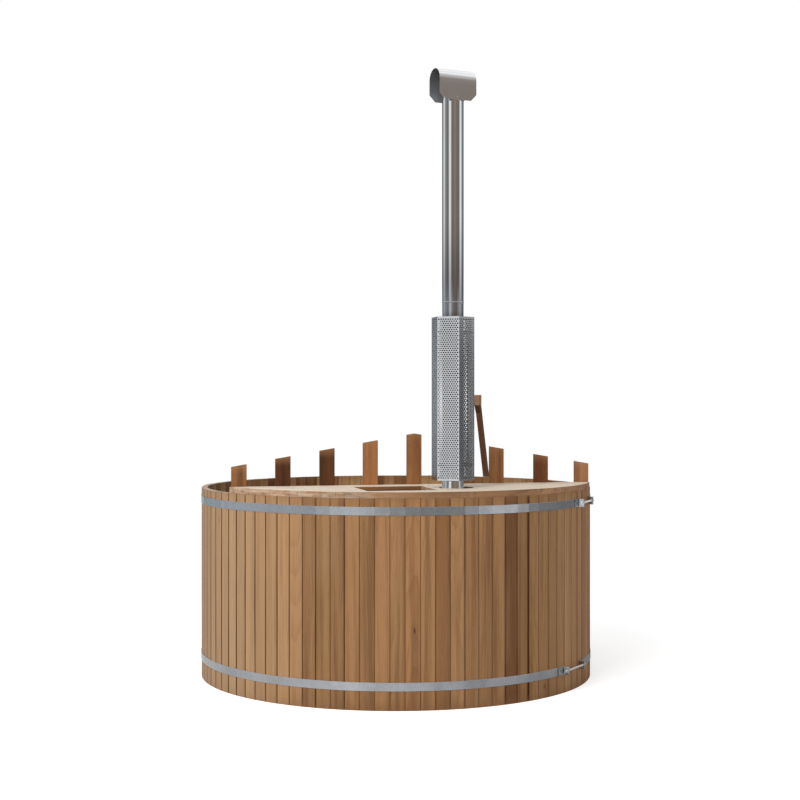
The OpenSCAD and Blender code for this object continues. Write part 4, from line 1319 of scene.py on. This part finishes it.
@dataclass
class Fence:
    """Nine slats with sloping tops on two rails."""

    boards: Boards
    tones: dict[int, Triple] = field(default_factory=lambda: {
        1: (-0.6, 0.0, 0.3), 2: (-2.1, 0.2, -0.3), 3: (-1.85, 0.1, 0.5),
        4: (0.0, 0.5, 0.2), 5: (-0.2, 0.2, -0.3), 6: (-0.5, 0.0, 0.0),
        7: (-0.2, 0.1, 0.3), 8: (-1.2, 1.0, 0.6), 9: (0.15, 0.0, -0.3),
    })

    def build(self) -> None:
        """Makes the slats and the rails."""
        for number, own in self.tones.items():
            node = f"fence_slat_{number}"
            self.boards.dress(node, Finishes.SLAT, Lay.UPRIGHT, 1.5 * MM, lambda _, draw, own=own: own)
        for rail in ("fence_rail_upper", "fence_rail_lower"):
            self.boards.dress(rail, Finishes.INNER, Lay.LEVEL_X, 2.0 * MM)


@dataclass
class Cover:
    """The front cover of level boards on battens, with its hatch and its screws."""

    boards: Boards
    shortest: float = 6 * MM

    def build(self) -> None:
        """Makes the boards, the battens and the screws."""
        self.boards.dress("cover_boards", Finishes.COVER, Lay.LEVEL_X, 2.0 * MM, shortest=self.shortest)
        self.boards.dress("cover_battens", Finishes.INNER, Lay.LEVEL_Y, 1.5 * MM, shortest=self.shortest)
        self.boards.shop.keep("cover_screws", Finishes.FASTENER)


@dataclass
class Stove:
    """The sunk stove with its fuel door, air pipe and damper."""

    metal: MetalCopies

    def build(self) -> None:
        """Makes the stove's pieces."""
        self.metal.ease(1.5 * MM, Finishes.STOVE, "stove_body")
        self.metal.ease(1.0 * MM, Finishes.STOVE, "stove_feet")
        self.metal.ease(0.4 * MM, Finishes.STOVE, "stove_air_pipe")
        self.metal.ease(0.4 * MM, Finishes.DARK, "stove_damper")
        self.metal.ease(0.8 * MM, Finishes.DARK, "stove_door")
        self.metal.ease(0.5 * MM, Finishes.FASTENER, "stove_hinge_pins")


@dataclass
class Flue:
    """The polished flue of two pipes joined at a rolled bead."""

    shop: Workshop
    flats: int = 128
    radius: float = 51 * MM
    wall: float = 1.5 * MM
    socket: float = 55 * MM
    foot: float = 905.3 * MM
    socket_top: float = 978 * MM
    taper: float = 25 * MM
    joint: float = 1866 * MM
    bead: float = 7 * MM
    bead_out: float = 2 * MM
    bead_steps: int = 8
    bead_power: float = 0.8
    slip: float = 60 * MM
    lap: float = 3 * MM
    top: float = 2850 * MM
    play: float = 0.3 * MM

    def pipe(self, name: str, node: str, profile: Sequence[tuple[float, float]]) -> None:
        """Turns a closed profile round the flue's axis.

        Args:
            name: The pipe's name.
            node: The CAD node that it stands for.
            profile: Distances from the axis and heights, in order round the profile.
        """
        turns = [math.tau * i / self.flats for i in range(self.flats)]
        points = [
            (FLUE_X + r * math.cos(turn), FLUE_Y + r * math.sin(turn), z)
            for turn in turns for r, z in profile
        ]
        piece = Workshop.piece(name, points, quads(self.flats, len(profile)), 30.0)
        self.shop.place(piece, Finishes.FLUE, node)

    def build(self) -> None:
        """Makes the lower pipe with its socket and bead, and the upper pipe."""
        r, w, low = self.radius, self.wall, self.joint - self.bead
        shares = [i / self.bead_steps for i in range(1, self.bead_steps)]
        bead = [
            (r + self.bead_out * math.sin(math.pi * share) ** self.bead_power, low + self.bead * share)
            for share in shares
        ]
        neck = self.socket_top + self.taper
        self.pipe("flue_lower_pipe", "flue_lower", [
            (self.socket - w, self.foot), (self.socket, self.foot), (self.socket, self.socket_top),
            (r, neck), (r, low), *bead, (r, self.joint), (r - w, self.joint), (r - w, neck),
            (self.socket - w, self.socket_top),
        ])
        inside, end, seat = r - w - self.play, self.joint - self.slip, self.joint + self.play
        self.pipe("flue_upper_pipe", "flue_upper", [
            (inside - w, end), (inside, end), (inside, seat), (r, seat),
            (r, self.top), (r - w, self.top), (r - w, seat + self.lap), (inside - w, seat + self.lap),
        ])


@dataclass
class HeatGuard:
    """The six-sided guard of perforated sheet round the flue, on two straps."""

    shop: Workshop
    metal: MetalCopies
    radius: float = 104.5 * MM
    thick: float = 1.5 * MM
    low: float = 1022 * MM
    high: float = 1793 * MM
    border: float = 8 * MM
    pitch: float = 11.3 * MM
    hole: float = 8.2 * MM
    columns: int = 9

    def panel(self, side: int) -> tuple[list[Vector], Faces]:
        """Makes one perforated side of the guard, as a closed sheet.

        Args:
            side: Number of the side, from 0 to 5.

        Returns:
            Vertices and faces.
        """
        out = polar(1.0, 60.0 * side - 60.0)
        run = Vector((-out.y, out.x, 0.0))
        flat = self.radius * math.cos(math.radians(30.0))
        half = self.radius / 2
        row = self.pitch * math.sin(math.radians(60.0))
        rows = int((self.high - self.low - self.border) / row)
        foot = (self.low + self.high - rows * row) / 2
        base = Vector((FLUE_X, FLUE_Y, 0.0))
        mitre = self.thick * math.tan(math.radians(30.0))
        points: list[Vector] = []
        index: dict[tuple[int, int, int], int] = {}
        faces: Faces = []

        def put(u: float, z: float, back: int) -> int:
            """Gives the number of a point of the sheet's front or back, made once."""
            key = (round(u * 1e6), round(z * 1e6), back)
            if key not in index:
                index[key] = len(points)
                edge = abs(abs(u) - half) < 1e-7
                across = u - math.copysign(mitre, u) if edge and back else u
                points.append(base + out * (flat - self.thick * back) + run * across + Vector((0.0, 0.0, z)))
            return index[key]

        def sheet(*corners: tuple[float, float]) -> None:
            """Lays a face on the front and one on the back."""
            faces.append(tuple(put(u, z, 0) for u, z in corners))
            faces.append(tuple(put(u, z, 1) for u, z in reversed(corners)))

        def strip(left: float, right: float, z0: float, z1: float) -> None:
            """Lays a plain part of the sheet."""
            sheet((left, z0), (right, z0), (right, z1), (left, z1))

        def wall(one: tuple[float, float], other: tuple[float, float]) -> None:
            """Joins front and back along an edge."""
            faces.append((put(*one, 0), put(*other, 0), put(*other, 1), put(*one, 1)))

        def sides(z0: float, z1: float) -> None:
            """Closes both upright edges."""
            wall((-half, z0), (-half, z1))
            wall((half, z0), (half, z1))

        steps = 2 * self.columns
        marks = [(i - self.columns) * self.pitch / 2 for i in range(steps + 1)]
        for i in range(rows):
            z0, z1 = foot + i * row, foot + (i + 1) * row
            strip(-half, marks[0], z0, z1)
            strip(marks[-1], half, z0, z1)
            sides(z0, z1)
            odd = i % 2
            if odd:
                strip(marks[0], marks[1], z0, z1)
                strip(marks[-2], marks[-1], z0, z1)
            middle = (z0 + z1) / 2
            for u0, u1, u2 in zip(marks[odd::2], marks[odd + 1::2], marks[odd + 2::2]):
                rim = [(u0, z0), (u1, z0), (u2, z0), (u2, z1), (u1, z1), (u0, z1)]
                ring = [
                    (corner.x + u1, corner.y + middle)
                    for corner in (polar(self.hole / 2, turn) for turn in (210, 270, 330, 30, 90, 150))
                ]
                for j in range(6):
                    n = (j + 1) % 6
                    sheet(rim[j], rim[n], ring[n], ring[j])
                    wall(ring[j], ring[n])
        stops = [-half, *marks, half]
        for z0, z1, edge in ((self.low, foot, self.low), (foot + rows * row, self.high, self.high)):
            for a, b in zip(stops, stops[1:]):
                strip(a, b, z0, z1)
                wall((a, edge), (b, edge))
            sides(z0, z1)
        return points, faces

    @staticmethod
    def looks_in(face: bpy.types.MeshPolygon) -> bool:
        """Says whether a face looks towards the flue."""
        away = Vector((face.center.x - FLUE_X, face.center.y - FLUE_Y, 0.0)).normalized()
        return face.normal.dot(away) < -0.5

    def build(self) -> None:
        """Makes the guard in two shells of three sides, and its straps and screws."""
        for name, numbers in (("heat_guard_front", (5, 0, 1)), ("heat_guard_back", (2, 3, 4))):
            points: list[Vector] = []
            faces: Faces = []
            for number in numbers:
                own, own_faces = self.panel(number)
                faces += shifted(own_faces, len(points))
                points += own
            piece = self.shop.place(Workshop.piece(name, points, faces, 0.0), Finishes.GUARD, "heat_guard")
            # Painted shade: faces that look towards the flue are near black.
            self.shop.finishes.second(piece, Finishes.GUARD_INSIDE_SHADE, self.looks_in)
        self.metal.ease(0.4 * MM, Finishes.DARK, "guard_straps")
        self.shop.keep("guard_screws", Finishes.FASTENER)


@dataclass
class Cowl:
    """The bent sheet cowl, open at both ends, with its two rivets."""

    shop: Workshop
    turn: float = 12.5
    length: float = 196 * MM
    inner: float = 51.5 * MM
    thick: float = 1.2 * MM
    spring: float = 2911.3 * MM
    drop: float = 96.3 * MM
    corner: float = 30 * MM
    bends: int = 40
    legs: int = 4

    def looks_in(self, face: bpy.types.MeshPolygon) -> bool:
        """Says whether a face looks into the cowl."""
        side = polar(1.0, self.turn + 90.0)
        away = face.center - Vector((FLUE_X, FLUE_Y, self.spring))
        ray = side * away.dot(side) + Vector((0.0, 0.0, max(0.0, away.z)))
        return face.normal.dot(ray.normalized()) < -0.5

    def point(self, station: float, step: int, radius: float) -> Vector:
        """Gives a point of the sheet.

        Args:
            station: Its place along the tunnel.
            step: Its number round the arch, from the foot of one leg to that of the other.
            radius: Half the width of the skin that it lies on.

        Returns:
            The point.
        """
        along = polar(1.0, self.turn)
        side = Vector((-along.y, along.x, 0.0))
        drop = self.drop - max(0.0, abs(station) - (self.length / 2 - self.corner))
        if step < self.legs:
            across, rise = -radius, -drop * (1 - step / self.legs)
        elif step > self.legs + self.bends:
            across, rise = radius, -drop * (step - self.legs - self.bends) / self.legs
        else:
            angle = math.pi * (1 - (step - self.legs) / self.bends)
            across, rise = radius * math.cos(angle), radius * math.sin(angle)
        return Vector((FLUE_X, FLUE_Y, self.spring)) + along * station + side * across + UP * rise

    def build(self) -> None:
        """Makes the sheet: two legs with cut corners and a round top between them."""
        half = self.length / 2
        stations = [-half, -half + self.corner, -half / 3, half / 3, half - self.corner, half]
        rows, last = 2 * self.legs + self.bends + 1, len(stations) - 1
        points = [
            self.point(station, step, radius) for radius in (self.inner + self.thick, self.inner)
            for station in stations for step in range(rows)
        ]
        skin = len(stations) * rows
        faces: Faces = []
        for a in (layer + i * rows + j for layer in (0, skin) for i in range(last) for j in range(rows - 1)):
            faces.append((a, a + 1, a + rows + 1, a + rows))
        for a in (i * rows + j for i in range(last) for j in (0, rows - 1)):
            faces.append((a, a + rows, a + rows + skin, a + skin))
        for a in (i * rows + j for j in range(rows - 1) for i in (0, last)):
            faces.append((a, a + 1, a + 1 + skin, a + skin))
        sheet = self.shop.place(Workshop.piece("cowl_sheet", points, faces), Finishes.SHEET, "cowl")
        # The inside of the cowl takes a darker finish: soot and painted shade in the tunnel.
        self.shop.finishes.second(sheet, Finishes.SMOKED_AND_SHADED, self.looks_in)
        self.shop.keep("cowl_rivets", Finishes.FASTENER)


@dataclass
class Drain:
    """The brass drain through the wall with its valve and lever."""

    metal: MetalCopies
    ease: float = 0.8 * MM

    def build(self) -> None:
        """Makes the drain's pieces."""
        self.metal.ease(self.ease, Finishes.BRASS, "drain_pipe", "drain_nut", "drain_valve_body")
        self.metal.ease(self.ease, Finishes.LEVER, "drain_valve_lever")


@dataclass
class EntrySteps:
    """The dark leaning steps with the pale grip block on the long post."""

    boards: Boards
    painted_shade_below: float = 1372 * MM

    def build(self) -> None:
        """Makes the posts, the treads and the grip, whose toe runs down the post with the dark steps wood as
        painted shade.
        """
        for post in ("steps_long_post", "steps_short_post"):
            self.boards.dress(post, Finishes.STEPS, Lay.LEAN, 3.0 * MM)
        self.boards.dress("steps_treads", Finishes.STEPS, Lay.ROUND, 2.5 * MM)
        grip = self.boards.dress("steps_grip", Finishes.GRIP, Lay.LEAN, 2.0 * MM)
        # Painted shade: the grip's toe below the post's top takes the dark steps wood.
        self.boards.shop.finishes.second(grip, Finishes.STEPS, lambda face: face.center.z < self.painted_shade_below)


# ---------------------------------------------------------------- studio


@dataclass
class Studio:
    """The camera at the photograph's angle, soft lamps, the surroundings and the floor.

    Polished metal sees two rounds of soft boxes, by heading from 0 to 1: high ones by the flue and the
    cowl, low ones by the guard and the hoops.
    """

    eye: Triple = (-1.7486, -7.2631, 1.4008)
    heading: float = -13.70
    lens: float = 64.71
    sensor: float = 36.0
    room: float = 0.6
    paper: float = 0.82
    ground: Colour = (0.75, 0.74, 0.72, 1.0)
    sky_from: float = 12.0
    sky_power: float = 0.74
    half: float = 30.0
    high_boxes: tuple[Stop, ...] = (
        (0.000, 0.27), (0.021, 0.20), (0.056, 0.19), (0.077, 0.27), (0.092, 0.80), (0.104, 1.0),
        (0.138, 1.0), (0.156, 0.42), (0.174, 0.24, 0.22, 0.20), (0.208, 0.20, 0.165, 0.14),
        (0.237, 0.27, 0.215, 0.18), (0.266, 0.32, 0.25, 0.20), (0.296, 0.285, 0.21, 0.165),
        (0.327, 0.24, 0.18, 0.145), (0.395, 0.17, 0.16, 0.145), (0.412, 0.35), (0.426, 0.90),
        (0.440, 1.0), (0.482, 1.0), (0.502, 0.36, 0.39, 0.42), (0.560, 0.18, 0.205, 0.225),
        (0.620, 0.15, 0.16, 0.17), (0.640, 0.10), (0.780, 0.10), (0.862, 0.12), (0.872, 1.0),
        (0.912, 0.95), (0.940, 0.50), (0.984, 0.26),
    )
    low_boxes: tuple[Stop, ...] = (
        (0.000, 0.62, 0.66, 0.70), (0.085, 0.53, 0.56, 0.59), (0.108, 0.85), (0.118, 1.0), (0.180, 1.0),
        (0.200, 0.60), (0.250, 0.30), (0.330, 0.22), (0.344, 0.85), (0.424, 0.90), (0.436, 0.17),
        (0.520, 0.22), (0.640, 0.30), (0.670, 0.85), (0.778, 0.85), (0.782, 0.31, 0.33, 0.35),
        (0.806, 0.33, 0.36, 0.39), (0.811, 0.46, 0.55, 0.57), (0.850, 0.46, 0.55, 0.57),
        (0.855, 0.36, 0.39, 0.46), (0.872, 0.36, 0.39, 0.46), (0.877, 0.66, 0.70, 0.74),
    )

    def camera(self) -> None:
        """Sets the camera."""
        data = bpy.data.cameras.new("view")
        data.lens, data.sensor_width = self.lens, self.sensor
        view = linked("view", data)
        view.location = self.eye
        view.rotation_euler = (math.radians(90.0), 0.0, math.radians(self.heading))
        bpy.context.scene.camera = view

    @staticmethod
    def lamp(name: str, place: Triple, aim: Triple, size: float, power: float) -> None:
        """Hangs one square soft lamp.

        Args:
            name: The lamp's name.
            place: Where it hangs.
            aim: The point that it faces.
            size: Its side.
            power: Its power in watts.
        """
        data = bpy.data.lights.new(name, "AREA")
        data.size, data.energy = size, power
        lamp = linked(name, data)
        lamp.location = place
        lamp.rotation_euler = (Vector(aim) - Vector(place)).to_track_quat("-Z", "Y").to_euler()
        lamp.visible_glossy = False

    def surroundings(self) -> None:
        """Builds the world: white to the eye, soft boxes to polished metal, plain light to the rest."""
        world = bpy.data.worlds.new("studio")
        world.use_nodes = True
        bpy.context.scene.world = world
        graph = Graph(world.node_tree)
        x, y, z = graph.split(graph.add("ShaderNodeTexCoord").outputs["Generated"])
        turn = graph.math("MULTIPLY_ADD", graph.math("ARCTAN2", y, x), 0.5 / math.pi, 0.5)
        hung = graph.remap(z, 0.045, 0.085)
        boxes = graph.mix(hung, graph.ramp(turn, self.low_boxes), graph.ramp(turn, self.high_boxes))
        behind = graph.times(graph.remap(z, 0.20, 0.60), graph.remap(y, -0.2, 0.2))
        start, full = math.radians(self.sky_from), math.radians(90.0)
        rise = graph.math(
            "MULTIPLY_ADD", graph.math("ARCSINE", z), 1 / (full - start), -start / (full - start), clamp=True
        )
        sky = graph.math("MAXIMUM", behind, graph.math("POWER", rise, self.sky_power))
        boxes = graph.mix(graph.remap(z, -0.10, -0.30), graph.mix(sky, boxes, WHITE), self.ground)
        path = graph.add("ShaderNodeLightPath")
        lit = graph.even(graph.remap(x, 0.9, -0.9, 0.55, 1.2))
        plain = graph.product(lit, (self.room, self.room, self.room, 1.0))
        seen = graph.mix(path.outputs["Is Glossy Ray"], plain, boxes)
        clear = graph.math("MAXIMUM", path.outputs["Is Camera Ray"], path.outputs["Is Transmission Ray"])
        seen = graph.mix(clear, seen, WHITE)
        background = graph.add("ShaderNodeBackground", {"Color": seen, "Strength": 1.0})
        graph.add("ShaderNodeOutputWorld", {"Surface": background.outputs[0]})

    def floor(self) -> None:
        """Lays the pale floor, which keeps the tub's shadow and turns to plain white away from it.

        In the metal's reflections it carries painted light and shade: its glow and colour dim from the sunny
        side to the other.
        """
        far = self.half
        corners = [(-far, -far, 0.0), (far, -far, 0.0), (far, far, 0.0), (-far, far, 0.0)]
        floor = Workshop.piece("floor", corners, [(0, 1, 2, 3)], 0.0)
        paper, graph = blank_material("floor_paper")
        path = graph.add("ShaderNodeLightPath").outputs
        glossy = path["Is Glossy Ray"]
        seen = graph.math(
            "MAXIMUM", path["Is Camera Ray"], graph.math("MAXIMUM", glossy, path["Is Transmission Ray"])
        )
        point = graph.point()
        across = graph.split(point)[0]
        # Painted light and shade seen only in reflections: the floor glows a little on the left, hardly at
        # the far left, not at all on the right.
        painted_reflection_glow = graph.remap(across, 0.7, -0.6, -0.55, -0.38)
        painted_reflection_glow = graph.math("ADD", painted_reflection_glow, graph.remap(across, -0.95, -1.25, 0.0, -0.15))
        # Painted shade seen only in reflections: the floor's colour darkens towards the right.
        painted_reflection_shade = graph.remap(across, 0.08, 0.65, self.paper, 0.57)
        colour = graph.mix(glossy, (self.paper, self.paper, self.paper, 1.0), graph.even(painted_reflection_shade))
        matt = graph.add("ShaderNodeBsdfDiffuse", {"Color": colour})
        strength = graph.math("MULTIPLY_ADD", glossy, painted_reflection_glow, graph.times(seen, 0.55))
        glow = graph.add("ShaderNodeEmission", {"Color": WHITE, "Strength": strength})
        near = graph.add("ShaderNodeAddShader", {0: matt.outputs[0], 1: glow.outputs[0]})
        white = graph.add("ShaderNodeEmission", {"Color": WHITE, "Strength": 1.0})
        gone = graph.add("ShaderNodeBsdfTransparent")
        away = graph.add("ShaderNodeMixShader", {0: glossy, 1: white.outputs[0], 2: gone.outputs[0]})
        share = graph.times(graph.remap(graph.length(point), 1.5, 4.0), seen)
        both = graph.add("ShaderNodeMixShader", {0: share, 1: near.outputs[0], 2: away.outputs[0]})
        graph.add("ShaderNodeOutputMaterial", {"Surface": both.outputs[0]})
        floor.data.materials.append(paper)

    def build(self) -> None:
        """Sets the camera, the lamps, the surroundings and the floor."""
        self.camera()
        self.surroundings()
        self.floor()
        self.lamp("key", (-4.5, -4.5, 5.0), (0.0, 0.0, 0.9), 4.4, 320.0)
        self.lamp("fill", (4.5, -5.0, 3.0), (0.0, 0.0, 0.9), 4.0, 70.0)
        bpy.context.scene.view_settings.view_transform = "Standard"


def main() -> None:
    """Builds the tub part by part."""
    logging.basicConfig(level=logging.INFO, format="%(name)s %(message)s")
    shop = Workshop(Finishes())
    boards = Boards(shop)
    metal = MetalCopies(shop)
    for part in (
        StaveWall(boards), FloorAndBench(boards), Hoops(shop, metal), Fence(boards), Cover(boards),
        Stove(metal), Flue(shop), HeatGuard(shop, metal), Cowl(shop), Drain(metal), EntrySteps(boards),
        Studio(),
    ):
        part.build()
        LOG.info("%s built", type(part).__name__)


if __name__ == "__main__":
    main()
